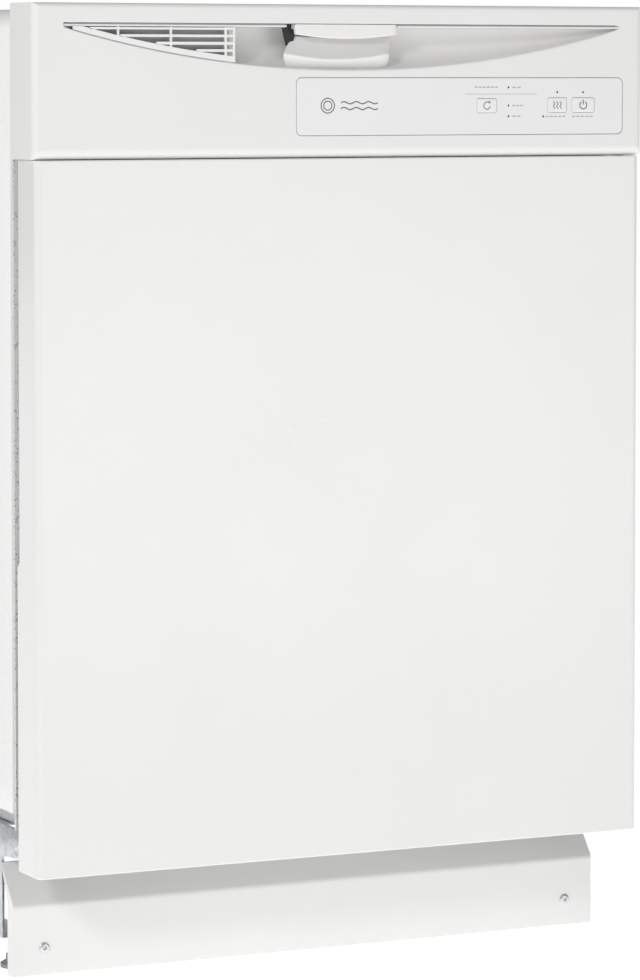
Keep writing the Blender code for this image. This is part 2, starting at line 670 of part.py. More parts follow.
def build_lower_rack():
    pivot = add_pivot("lower_rack_axis", (0, 0, LOWER_RACK[3]))
    build_rack("lower_rack", LOWER_RACK, (6, 6, 2), pivot)
    for side, label in ((-1, "left"), (1, "right")):
        for y, end in ((WHEEL_FRONT_Y, "front"), (WHEEL_BACK_Y, "rear")):
            x = side * sum(WHEEL_X) / 2
            bm = bmesh.new()
            add_cylinder(bm, (x, y, WHEEL_Z), WHEEL_RADIUS, WHEEL_X[1] - WHEEL_X[0], axis="x")
            add_object(f"rack_wheel_{end}_{label}", bm, "grey_plastic", (x, y, WHEEL_Z), pivot)

    x, y, z = (0.150, 0.225), (-0.150, 0.105), (0.2095, 0.385)
    bm = bmesh.new()
    add_box(bm, x, y, z)
    basket = add_object("silverware_basket", bm, "grey_plastic", pivot.location, pivot)
    bm = bmesh.new()
    wall, count = 0.0025, 3
    room = (y[1] - y[0] - wall) / count
    for i in range(count):
        start = y[0] + wall + i * room
        add_box(bm, (x[0] + wall, x[1] - wall), (start, start + room - wall), (z[0] + wall, z[1] + 0.01))
    combine(basket, "DIFFERENCE", "basket_cells", bm)


def build_upper_rack():
    rails = add_pivot("upper_rails_axis", (0, 0, RAIL_SLIDE_Z[0]))
    z0, z1 = RAIL_SLIDE_Z
    for side, label in ((-1, "left"), (1, "right")):
        bm = bmesh.new()
        section = [(side * a, b) for a, b in channel_outline(0.262, 0.2715, z0, z1, 0.0015)]
        add_prism(bm, section, *RAIL_SLIDE_Y, axis="y")
        add_object(f"upper_rail_{label}", bm, "stainless_steel", rails.location, rails)

    pivot = add_pivot("upper_rack_axis", (0, 0, UPPER_RACK[3]))
    build_rack("upper_rack", UPPER_RACK, (6, 6, 2), pivot)
    bm = bmesh.new()
    add_box(bm, (-0.013, 0.013), (0, 0.2625), (0.4925, 0.5025))
    manifold = add_object("upper_arm_manifold", bm, "grey_plastic", pivot.location, pivot)
    bm = bmesh.new()
    add_cylinder(bm, (0, 0, 0.4960), 0.022, 0.013)
    combine(manifold, "UNION", "manifold_hub", bm)


# ---------------------------------------------------------------- door

def build_outer_panel(door):
    """A folded skin with rounded front edges, open to the back and at its lower rear corners."""
    front = FRONT + 0.001
    bm = bmesh.new()
    verts = add_box(bm, (-PANEL_HALF, PANEL_HALF), (front, FRONT + 0.048), (DOOR_BOTTOM, PANEL_TOP))
    edges = {e for v in verts for e in v.link_edges
             if all(abs(w.co.y - front) < 1e-6 for w in e.verts)
             and abs(e.verts[0].co.z - e.verts[1].co.z) > 0.1}
    bmesh.ops.bevel(bm, geom=list(edges), offset=EDGE_RADIUS, segments=5, profile=0.5, affect="EDGES")
    panel = add_object("door_outer_panel", bm, "white_paint", door.location, door)

    inner = PANEL_HALF - SHEET
    bm = bmesh.new()
    verts = add_box(bm, (-inner, inner), (front + SHEET, FRONT + 0.060),
                    (DOOR_BOTTOM + SHEET, PANEL_TOP - SHEET))
    edges = {e for v in verts for e in v.link_edges
             if all(abs(w.co.y - front - SHEET) < 1e-6 for w in e.verts)
             and abs(e.verts[0].co.z - e.verts[1].co.z) > 0.1}
    bmesh.ops.bevel(bm, geom=list(edges), offset=EDGE_RADIUS - SHEET, segments=5, profile=0.5, affect="EDGES")
    combine(panel, "DIFFERENCE", "panel_hollow", bm)

    bm = bmesh.new()
    add_box(bm, (-0.4, 0.4), (FRONT + 0.043, FRONT + 0.07), (0.375, 0.80))
    for side in (-1, 1):
        notch = sorted((side * EAR_NOTCH_X, side * (inner + 0.0004)))
        add_box(bm, notch, (FRONT + 0.025, FRONT + 0.07), (0.05, 0.12))
    combine(panel, "DIFFERENCE", "panel_back_edge", bm)


def build_inner_panel(door):
    half, low, high, front = 0.2865, 0.1225, 0.862, FRONT + 0.044
    wall = 0.002
    bm = bmesh.new()
    add_box(bm, (-half, half), (front, DOOR_BACK), (low, high))
    panel = add_object("door_inner_panel", bm, "liner_plastic", door.location, door)
    bm = bmesh.new()
    add_box(bm, (-half + wall, half - wall), (front - 0.01, DOOR_BACK - wall), (low + wall, high - wall))
    combine(panel, "DIFFERENCE", "inner_hollow", bm)
    bm = bmesh.new()
    add_box(bm, (-0.016, 0.016), (DOOR_BACK - 0.01, DOOR_BACK + 0.01), (0.8515, 0.8598))
    x0, x1, z0, z1 = DISPENSER
    add_box(bm, (x0 - CLEARANCE, x1 + CLEARANCE), (DOOR_BACK - 0.01, DOOR_BACK + 0.01),
            (z0 - CLEARANCE, z1 + CLEARANCE))
    combine(panel, "DIFFERENCE", "inner_holes", bm)


def build_dispenser(door):
    x0, x1, z0, z1 = DISPENSER
    back = DOOR_BACK - 0.0005
    bm = bmesh.new()
    add_box(bm, (x0, x1), (FRONT + 0.046, back), (z0, z1))
    housing = add_object("dispenser_housing", bm, "grey_plastic", door.location, door)
    bm = bmesh.new()
    add_box(bm, CUP[:2], (back - 0.012, back + 0.01), CUP[2:])
    combine(housing, "DIFFERENCE", "dispenser_cup", bm)

    axis = (LID_AXIS_X, DOOR_BACK + 0.0026, sum(CUP[2:]) / 2)
    bm = bmesh.new()
    add_box(bm, (LID_AXIS_X, -0.002), (DOOR_BACK - 0.0002, DOOR_BACK + 0.0018),
            (CUP[2] - 0.003, CUP[3] + 0.003))
    lid = add_object("dispenser_lid", bm, "grey_plastic", axis, door)
    bm = bmesh.new()
    add_cylinder(bm, axis, 0.0026, CUP[3] - CUP[2] + 0.006, sides=16)
    combine(lid, "UNION", "lid_barrel", bm)

    centre = (RINSE_AT[0], DOOR_BACK + 0.0013, RINSE_AT[1])
    bm = bmesh.new()
    add_cylinder(bm, centre, 0.015, 0.003, axis="y", sides=28)
    cap = add_object("rinse_aid_cap", bm, "grey_plastic", centre, door)
    bm = bmesh.new()
    add_box(bm, (centre[0] - 0.012, centre[0] + 0.012), (centre[1], DOOR_BACK + 0.0065),
            (centre[2] - 0.002, centre[2] + 0.002))
    combine(cap, "UNION", "cap_grip", bm)


def build_console(door):
    """The moulded control console: a hollow shell with a scooped pocket, a panel recess and hook ears."""
    half = WIDTH / 2
    bm = bmesh.new()
    verts = add_box(bm, (-half, half), (FRONT, FRONT + CONSOLE_DEPTH), (CONSOLE_BOTTOM, HEIGHT))
    bevel_front(bm, verts, FRONT, EDGE_RADIUS)
    console = add_object("console_housing", bm, "white_plastic", door.location, door)

    bm = bmesh.new()
    inner = half - CONSOLE_WALL
    add_box(bm, (-inner, inner), (FRONT + CONSOLE_FACE, FRONT + 0.07),
            (CONSOLE_BOTTOM + CONSOLE_WALL, HEIGHT - CONSOLE_WALL))
    combine(console, "DIFFERENCE", "console_hollow", bm)

    bm = bmesh.new()
    add_box(bm, (-0.289, 0.289), (FRONT + 0.0435, FRONT + 0.07),
            (CONSOLE_BOTTOM - 0.01, CONSOLE_BOTTOM + 0.01))
    combine(console, "DIFFERENCE", "console_foot", bm)

    bm = bmesh.new()
    floor = FRONT + CONSOLE_FACE + POCKET_DEPTH
    add_prism(bm, pocket_outline(POCKET_LEFT, POCKET_RIGHT, 0.0025), FRONT + 0.002, floor + 0.0025, axis="y")
    combine(console, "UNION", "pocket_block", bm)
    bm = bmesh.new()
    add_prism(bm, pocket_outline(POCKET_LEFT, POCKET_RIGHT), FRONT - 0.01, floor, axis="y")
    combine(console, "DIFFERENCE", "pocket_scoop", bm)

    bm = bmesh.new()
    add_box(bm, (-0.0625, LEVER_HALF), (FRONT + 0.004, floor + 0.001), (0.8115, 0.8260))
    for side in (-1, 1):
        add_box(bm, sorted((side * 0.0125, side * 0.0155)), (floor + 0.001, FRONT + 0.054), (0.838, 0.850))
    combine(console, "UNION", "latch_cup_and_ears", bm)

    bm = bmesh.new()
    x0, x1, z0, z1 = OVERLAY
    add_prism(bm, rounded_rectangle(x0 - CLEARANCE, x1 + CLEARANCE, z0 - CLEARANCE, z1 + CLEARANCE, 0.0055),
              FRONT - 0.01, OVERLAY_BACK + GAP, axis="y")
    add_cylinder(bm, (0, FRONT + 0.0495, 0.8445), 0.0022, 0.05, axis="x", sides=16)
    combine(console, "DIFFERENCE", "overlay_recess", bm)
    bm = bmesh.new()
    for x0, x1, z0, z1 in BUTTONS.values():
        add_prism(bm, rounded_rectangle(x0 - GAP, x1 + GAP, z0 - GAP, z1 + GAP, 0.002, 3),
                  FRONT - 0.01, FRONT + 0.01, axis="y")
    combine(console, "DIFFERENCE", "console_button_holes", bm)


def build_console_fittings(door):
    bm = bmesh.new()
    x0, x1, z0, z1 = OVERLAY
    add_prism(bm, rounded_rectangle(x0, x1, z0, z1, 0.005), OVERLAY_FRONT, OVERLAY_BACK, axis="y")
    overlay = add_object("control_overlay", bm, "white_plastic", door.location, door)
    bm = bmesh.new()
    for x0, x1, z0, z1 in BUTTONS.values():
        add_prism(bm, rounded_rectangle(x0 - GAP, x1 + GAP, z0 - GAP, z1 + GAP, 0.002, 3),
                  FRONT - 0.01, FRONT + 0.01, axis="y")
    combine(overlay, "DIFFERENCE", "overlay_button_holes", bm)

    for name, (x0, x1, z0, z1) in BUTTONS.items():
        centre = ((x0 + x1) / 2, FRONT + 0.0004, (z0 + z1) / 2)
        bm = bmesh.new()
        outline = rounded_rectangle(x0, x1, z0, z1, 0.0017, 3)
        add_prism(bm, outline, centre[1], centre[1] + BUTTON_LENGTH, axis="y")
        add_object(name, bm, "white_plastic", centre, door)

    bm = bmesh.new()
    add_box(bm, (-0.040, 0.270), (FRONT + 0.016, FRONT + 0.0176), (0.756, 0.801))
    add_object("control_board", bm, "circuit_board", door.location, door)

    inset = 0.0006
    right = -0.1106
    bm = bmesh.new()
    outline = [(right, POCKET_TOP - inset), (-0.266, POCKET_TOP - inset)]
    outline += [(x, pocket_low(x, -inset)) for x in [-0.266 + (right + 0.266) * i / 12 for i in range(13)]]
    add_prism(bm, outline, FRONT + 0.0006, FRONT + 0.0036, axis="y")
    grille = add_object("vent_grille", bm, "white_plastic", door.location, door)
    bm = bmesh.new()
    pitch, slot = 0.0064, 0.0036
    for row in range(4):
        low = 0.8225 + row * pitch
        for x0, x1 in ((-0.258, -0.2255), (-0.2205, -0.1755), (-0.1705, -0.1220)):
            rise = max(0, low - 0.0025 - POCKET_ARC_LOW)
            start = max(x0, POCKET_ARC_X - math.sqrt(2 * POCKET_ARC_RADIUS * rise))
            if x1 - start > 0.006:
                add_box(bm, (start, x1), (FRONT - 0.01, FRONT + 0.01), (low, low + slot))
    combine(grille, "DIFFERENCE", "vent_slots", bm)


def build_latch(door):
    """The finger lever in the pocket and the hook that it drops under the strike."""
    axis = (0, FRONT + 0.0045, 0.8500)
    bm = bmesh.new()
    add_prism(bm, [(FRONT + 0.0020, 0.8525), (FRONT + 0.0020, 0.8425), (FRONT + 0.0035, 0.8402),
                   (FRONT + 0.0060, 0.8402), (FRONT + 0.0075, 0.8450), (FRONT + 0.0140, 0.8470),
                   (FRONT + 0.0140, 0.8520), (FRONT + 0.0045, 0.8525)], -LEVER_HALF, LEVER_HALF, axis="x")
    add_object("latch_lever", bm, "white_plastic", axis, door)

    axis = (0, FRONT + 0.0495, 0.8445)
    bm = bmesh.new()
    add_prism(bm, [(FRONT + 0.0440, 0.8410), (FRONT + 0.0550, 0.8410), (FRONT + 0.0575, 0.8440),
                   (FRONT + 0.0575, 0.8530), (FRONT + 0.0555, 0.8538), (FRONT + 0.0520, 0.8490),
                   (FRONT + 0.0440, 0.8480)], -0.0115, 0.0115, axis="x")
    hook = add_object("latch_hook", bm, "galvanised_steel", axis, door)
    bm = bmesh.new()
    add_cylinder(bm, axis, 0.0020, 0.034, axis="x", sides=16)
    combine(hook, "UNION", "hook_pin", bm)


def build_hinge_arms(door):
    for side, label in ((-1, "left"), (1, "right")):
        span = sorted((side * 0.2872, side * 0.2892))
        bm = bmesh.new()
        add_box(bm, span, (FRONT + 0.036, FRONT + 0.058), (HINGE_Z - 0.009, 0.360))
        arm = add_object(f"hinge_arm_{label}", bm, "galvanised_steel", (0, HINGE_Y, HINGE_Z), door)
        bm = bmesh.new()
        add_cylinder(bm, (side * 0.29125, HINGE_Y, HINGE_Z), 0.0040, 0.0070, axis="x", sides=20)
        combine(arm, "UNION", f"hinge_pin_{label}", bm)


def main():
    clear_scene()
    build_tub()
    build_blanket()
    build_side_rail(-1, "left")
    build_side_rail(1, "right")
    build_cross_members()
    build_legs()
    build_toe_kick()
    build_front_fittings()
    build_balance()
    build_sump()
    build_wash_fittings()
    build_spray_arm("lower_spray_arm", (0, 0), POST_TOP + GAP, 0.174, 0.235, "grey_plastic")
    build_lower_rack()
    build_upper_rack()
    build_spray_arm("upper_spray_arm", (0, 0), 0.4715, 0.4892, 0.200, "grey_plastic")
    door = add_pivot("door_axis", (0, HINGE_Y, HINGE_Z))
    build_outer_panel(door)
    build_inner_panel(door)
    build_dispenser(door)
    build_console(door)
    build_console_fittings(door)
    build_latch(door)
    build_hinge_arms(door)


main()
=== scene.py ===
"""Looks of a built-in dishwasher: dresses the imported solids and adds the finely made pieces.

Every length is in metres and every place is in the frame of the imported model: +Z up, the door's front
faces -Y, and the origin lies on the floor under the middle of the cabinet.
"""

from __future__ import annotations

import logging
import math
from dataclasses import dataclass, field
from enum import Enum
from typing import Mapping, Sequence

import bmesh
import bpy
import numpy as np
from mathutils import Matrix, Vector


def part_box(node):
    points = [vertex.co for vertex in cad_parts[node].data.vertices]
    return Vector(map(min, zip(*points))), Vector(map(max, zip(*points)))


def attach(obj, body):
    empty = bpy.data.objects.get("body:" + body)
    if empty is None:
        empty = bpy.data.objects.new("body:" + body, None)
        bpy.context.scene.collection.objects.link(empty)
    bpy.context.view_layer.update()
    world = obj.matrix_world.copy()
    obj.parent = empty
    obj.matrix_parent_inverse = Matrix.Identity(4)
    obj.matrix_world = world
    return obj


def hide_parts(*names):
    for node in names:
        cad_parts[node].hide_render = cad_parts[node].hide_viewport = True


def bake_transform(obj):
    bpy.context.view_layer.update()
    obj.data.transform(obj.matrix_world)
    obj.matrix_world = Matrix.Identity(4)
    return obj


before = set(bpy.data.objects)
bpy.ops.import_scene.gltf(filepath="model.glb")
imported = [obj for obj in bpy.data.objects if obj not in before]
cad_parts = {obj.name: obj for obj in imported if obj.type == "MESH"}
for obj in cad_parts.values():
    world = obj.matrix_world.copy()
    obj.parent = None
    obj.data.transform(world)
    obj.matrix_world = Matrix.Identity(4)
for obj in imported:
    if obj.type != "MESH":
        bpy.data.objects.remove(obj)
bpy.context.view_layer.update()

LOG = logging.getLogger("dishwasher")
Array = np.ndarray
Point = tuple[float, float, float]


# ---------------------------------------------------------------- finishes


class Pattern(Enum):
    """How a finish's colour and relief vary over its surface."""

    MOULDED = "fine spark-eroded grain of a moulding tool"
    ORANGE_PEEL = "low soft waves of sprayed and baked enamel"
    SPANGLE = "crystals of a hot-dip zinc coat"
    BRUSHED = "long fine scratches along one axis"
    FLECKED = "coloured chips in a filled plastic"
    FIBRE = "matted fibres of a felt"
    PLAIN = "faint mottling only"


class Axis(Enum):
    """The direction that a directional finish runs along."""

    X = (0.04, 1.0, 1.0)
    Y = (1.0, 0.04, 1.0)
    Z = (1.0, 1.0, 0.04)


def linear(code: str) -> tuple[float, float, float, float]:
    """Turns an sRGB hex colour into linear light.

    Args:
        code: Six hex digits after a hash sign.

    Returns:
        Red, green and blue in linear light, and an alpha of one.
    """
    parts = np.array([int(code[i:i + 2], 16) for i in (1, 3, 5)]) / 255.0
    light = np.where(parts <= 0.04045, parts / 12.92, ((parts + 0.055) / 1.055) ** 2.4)
    return (float(light[0]), float(light[1]), float(light[2]), 1.0)


def add_node(
    tree: bpy.types.NodeTree,
    kind: str,
    settings: Mapping[str, object] | None = None,
    links: Mapping[str, bpy.types.NodeSocket] | None = None,
) -> bpy.types.Node:
    """Adds one node, sets its values and links its inputs.

    Args:
        tree: The material's node tree.
        kind: The node's type name.
        settings: Input values by socket name or index, or attributes of the node.
        links: Sockets to link from, by the input they go to.

    Returns:
        The new node.
    """
    node = tree.nodes.new(kind)
    for name, value in (settings or {}).items():
        if isinstance(name, int) or name in node.inputs:
            node.inputs[name].default_value = value
        else:
            setattr(node, name, value)
    for name, socket in (links or {}).items():
        tree.links.new(socket, node.inputs[name])
    return node


@dataclass(frozen=True)
class Finish:
    """A material, from what the piece is made of and how its surface was made."""

    name: str
    colour: str
    second: str
    roughness: float
    pattern: Pattern = Pattern.PLAIN
    grain: float = 0.001
    relief: float = 0.00002
    strength: float = 0.2
    metallic: float = 0.0
    coat: float = 0.0
    ior: float = 1.5
    sheen: float = 0.0
    patch: float = 0.12
    axis: Axis = Axis.X
    slot: str = ""

    def build(self) -> bpy.types.Material:
        """Makes the material once, and finds it again after that.

        Returns:
            The material.
        """
        known = bpy.data.materials.get(self.name)
        if known:
            return known
        material = bpy.data.materials.new(self.name)
        material.use_nodes = True
        tree = material.node_tree
        tree.nodes.clear()
        place = add_node(tree, "ShaderNodeTexCoord").outputs["Object"]
        colour, height = self._pattern(tree, place)
        shade = self._roughness(tree, place)
        bump = add_node(tree, "ShaderNodeBump", {"Strength": self.strength, "Distance": self.relief},
                        {"Height": height})
        settings = {"Metallic": self.metallic, "Coat Weight": self.coat, "Coat Roughness": 0.12,
                    "IOR": self.ior, "Sheen Weight": self.sheen, "Sheen Roughness": 0.5}
        shader = add_node(tree, "ShaderNodeBsdfPrincipled", settings,
                          {"Base Color": colour, "Roughness": shade, "Normal": bump.outputs["Normal"]})
        add_node(tree, "ShaderNodeOutputMaterial", links={"Surface": shader.outputs["BSDF"]})
        return material

    def _roughness(self, tree: bpy.types.NodeTree, place: bpy.types.NodeSocket) -> bpy.types.NodeSocket:
        """Roughness that drifts a little over hand-sized patches, as handled surfaces do.

        Args:
            tree: The material's node tree.
            place: Object coordinates.

        Returns:
            The roughness socket.
        """
        drift = add_node(tree, "ShaderNodeTexNoise", {"Scale": 1.0 / self.patch, "Detail": 3.0},
                         {"Vector": place})
        spread = add_node(tree, "ShaderNodeMapRange",
                          {"To Min": self.roughness * 0.88, "To Max": min(1.0, self.roughness * 1.12)},
                          {"Value": drift.outputs["Fac"]})
        return spread.outputs["Result"]

    def _pattern(
        self, tree: bpy.types.NodeTree, place: bpy.types.NodeSocket
    ) -> tuple[bpy.types.NodeSocket, bpy.types.NodeSocket]:
        """The colour and the height of the finish's pattern.

        Args:
            tree: The material's node tree.
            place: Object coordinates.

        Returns:
            The colour socket and the height socket.
        """
        scale = 1.0 / self.grain
        if self.pattern is Pattern.BRUSHED:
            stretch = add_node(tree, "ShaderNodeMapping", {"Scale": self.axis.value}, {"Vector": place})
            place = stretch.outputs[0]
        if self.pattern in (Pattern.SPANGLE, Pattern.FLECKED):
            cell = add_node(tree, "ShaderNodeTexVoronoi", {"Scale": scale}, {"Vector": place})
            grey = add_node(tree, "ShaderNodeSeparateColor", links={"Color": cell.outputs["Color"]})
            height = grey.outputs["Red"]
        else:
            detail = 6.0 if self.pattern is Pattern.FIBRE else 2.0
            noise = add_node(tree, "ShaderNodeTexNoise", {"Scale": scale, "Detail": detail},
                             {"Vector": place})
            height = noise.outputs["Fac"]
        # Where the second colour starts and is full: rare for flecks, even for crystals, slow for mottling.
        low, high = (0.86, 0.90) if self.pattern is Pattern.FLECKED else (0.35, 0.68)
        if self.pattern in (Pattern.PLAIN, Pattern.MOULDED, Pattern.ORANGE_PEEL):
            low, high = 0.15, 0.85
            mottle = add_node(tree, "ShaderNodeTexNoise", {"Scale": 1.0 / self.patch, "Detail": 4.0},
                              {"Vector": place})
            source = mottle.outputs["Fac"]
        else:
            source = height
        ramp = add_node(tree, "ShaderNodeValToRGB", links={"Fac": source})
        ramp.color_ramp.elements[0].position = low
        ramp.color_ramp.elements[1].position = high
        ramp.color_ramp.elements[0].color = linear(self.colour)
        ramp.color_ramp.elements[1].color = linear(self.second)
        return ramp.outputs["Color"], height


# White ABS moulding with a satin, very finely grained skin: soft broad highlights, no sparkle.
WHITE_ABS = Finish("moulded_white_abs", "#F3F3F2", "#F1F0EF", 0.38, Pattern.MOULDED, 0.0007, 0.00001, 0.12,
                   slot="white_plastic")
# The same plastic polished in the tool: a cleaner, tighter highlight on keys and the lever.
POLISHED_ABS = Finish("polished_white_abs", "#F5F4F3", "#F3F2F1", 0.24, Pattern.MOULDED, 0.0020, 0.00001,
                      0.05, slot="white_plastic")
# Baked white enamel on sheet steel: a clear gloss over long, very low waves.
WHITE_ENAMEL = Finish("baked_white_enamel", "#F3F3F1", "#F1F0EE", 0.26, Pattern.ORANGE_PEEL, 0.0035, 0.00003,
                      0.08, coat=0.45, slot="white_paint")
# Printed label stock, hard-coated polyester: even and slightly smoother than the moulding round it.
LABEL_FILM = Finish("hard_coated_label_film", "#F3F3F3", "#F1F1F1", 0.30, Pattern.MOULDED, 0.0009, 0.00001,
                    0.06, slot="white_plastic")
# Screen-printed inks: flat and dry, a pale grey for captions and a darker one for signs.
PRINT_PALE = Finish("screen_printed_pale_ink", "#BDBEC0", "#B2B3B5", 0.55, Pattern.PLAIN,
                    0.0008, 0.00001, 0.1)
PRINT_DARK = Finish("screen_printed_dark_ink", "#5E6165", "#54575A", 0.50, Pattern.PLAIN,
                    0.0008, 0.00001, 0.1)
# Smoked acrylic lens over an unlit lamp: nearly black and glossy.
SMOKED_ACRYLIC = Finish("smoked_acrylic_lens", "#17181A", "#202123", 0.12, Pattern.PLAIN, 0.001, 0.00001,
                        0.02, slot="dark_plastic")
# Black glass-filled nylon: dull, with a dry grain that catches grey light.
BLACK_NYLON = Finish("glass_filled_black_nylon", "#1D1E20", "#28292B", 0.52, Pattern.MOULDED, 0.0008, 0.00003,
                     0.35, slot="dark_plastic")
# Grey polypropylene talc blend, moulded: chalky sheen.
GREY_PP = Finish("talc_filled_grey_polypropylene", "#8E9194", "#999C9F", 0.45, Pattern.MOULDED, 0.0008,
                 0.00002, 0.25, slot="grey_plastic")
# The duct behind the vent's bars: the same plastic a little duller, grey to paint the shade in the slots so
# they read as openings.
DUCT_PAINTED_SHADE_GREY = Finish("duct_painted_shade_grey", "#A6A8AB", "#B0B2B5", 0.60, Pattern.MOULDED, 0.0010, 0.00002, 0.3,
                   slot="grey_plastic")
# The tub's liner: pale polypropylene with grey chips stirred through it, and a waxy sheen.
LINER_PP = Finish("flecked_liner_polypropylene", "#E2E3E3", "#B5BABF", 0.36, Pattern.FLECKED, 0.0016, 0.00001,
                  0.08, slot="liner_plastic")
# Hot-dip galvanised sheet: patches of zinc crystals that turn from bright to dull.
GALVANISED = Finish("hot_dip_galvanised_steel", "#C2C5C8", "#D2D5D8", 0.38, Pattern.SPANGLE, 0.0045, 0.00002,
                    0.10, metallic=1.0, slot="galvanised_steel")
# Cold-rolled stainless strip, brushed along its length.
STAINLESS = Finish("brushed_stainless_steel", "#B9B9B8", "#D0D0CF", 0.28, Pattern.BRUSHED, 0.0006, 0.00001,
                   0.25, metallic=1.0, axis=Axis.Y, slot="stainless_steel")
# Zinc-plated screw steel: bright with a faint blue cast.
ZINC_PLATE = Finish("zinc_plated_steel", "#CFD1D4", "#DEE0E2", 0.30, Pattern.PLAIN, 0.0015, 0.00001, 0.10,
                    metallic=1.0, slot="galvanised_steel")
# Oil-tempered spring wire: dark, drawn along its length.
SPRING_WIRE = Finish("oil_tempered_spring_wire", "#4A4B4E", "#6A6B6E", 0.38, Pattern.PLAIN, 0.002, 0.00001,
                     0.15, metallic=1.0, slot="spring_steel")
# Incoloy heater sheath, annealed: brown-grey heat colours.
HEATER_SHEATH = Finish("annealed_nickel_sheath", "#6B645D", "#857B70", 0.42, Pattern.PLAIN, 0.004, 0.00002,
                       0.2, metallic=1.0, patch=0.05, slot="stainless_steel")
# EPDM door seal: matt pale grey with a slight bloom.
EPDM = Finish("extruded_grey_epdm_rubber", "#A8AAAC", "#B9BBBC", 0.70, Pattern.MOULDED, 0.0012, 0.00003, 0.3,
              slot="rubber")
# White spun-bonded polyester felt: matted fibres, a pale sheen at grazing angles.
WHITE_FELT = Finish("spun_bonded_white_felt", "#FAFAF9", "#FFFFFE", 0.92, Pattern.FIBRE, 0.004, 0.0006, 0.30,
                    sheen=0.3, slot="white_fibre")
# Nylon-dipped rack wire: thick, slightly soft blue-grey skin.
RACK_NYLON = Finish("fluid_bed_dipped_nylon", "#8D97A3", "#98A1AC", 0.36, Pattern.MOULDED, 0.0015, 0.00002,
                    0.15, slot="nylon_coating")
# Glass-epoxy board with green solder mask.
SOLDER_MASK = Finish("green_solder_mask", "#1F6B3A", "#25773F", 0.35, Pattern.MOULDED, 0.003, 0.00001, 0.2,
                     slot="circuit_board")

NODE_FINISH: dict[str, Finish] = {
    "tub": LINER_PP, "door_inner_panel": LINER_PP, "dispenser_housing": GREY_PP, "dispenser_lid": GREY_PP,
    "rinse_aid_cap": GREY_PP, "side_rail_left": GALVANISED, "side_rail_right": GALVANISED,
    "front_cross_brace": GALVANISED, "rear_cross_rail": GALVANISED, "junction_box": GALVANISED,
    "counter_bracket_left": GALVANISED, "counter_bracket_right": GALVANISED, "hinge_arm_left": GALVANISED,
    "hinge_arm_right": GALVANISED, "latch_hook": ZINC_PLATE, "strike_plate": STAINLESS,
    "tub_gasket": EPDM,
    "sump_housing": BLACK_NYLON, "fill_pipe": BLACK_NYLON, "wash_motor": ZINC_PLATE, "drain_pump": GREY_PP,
    "water_inlet_valve": GREY_PP, "water_supply_tube": GREY_PP, "heating_element": HEATER_SHEATH,
    "sump_filter": GREY_PP, "float_cap": GREY_PP, "upper_arm_manifold": GREY_PP, "upper_rail_left": STAINLESS,
    "upper_rail_right": STAINLESS, "balance_link_left": GALVANISED, "balance_link_right": GALVANISED,
    "control_board": SOLDER_MASK, "levelling_leg_front_left": GREY_PP, "levelling_leg_front_right": GREY_PP,
    "levelling_leg_rear_left": GREY_PP, "levelling_leg_rear_right": GREY_PP,
}


# ---------------------------------------------------------------- mesh making


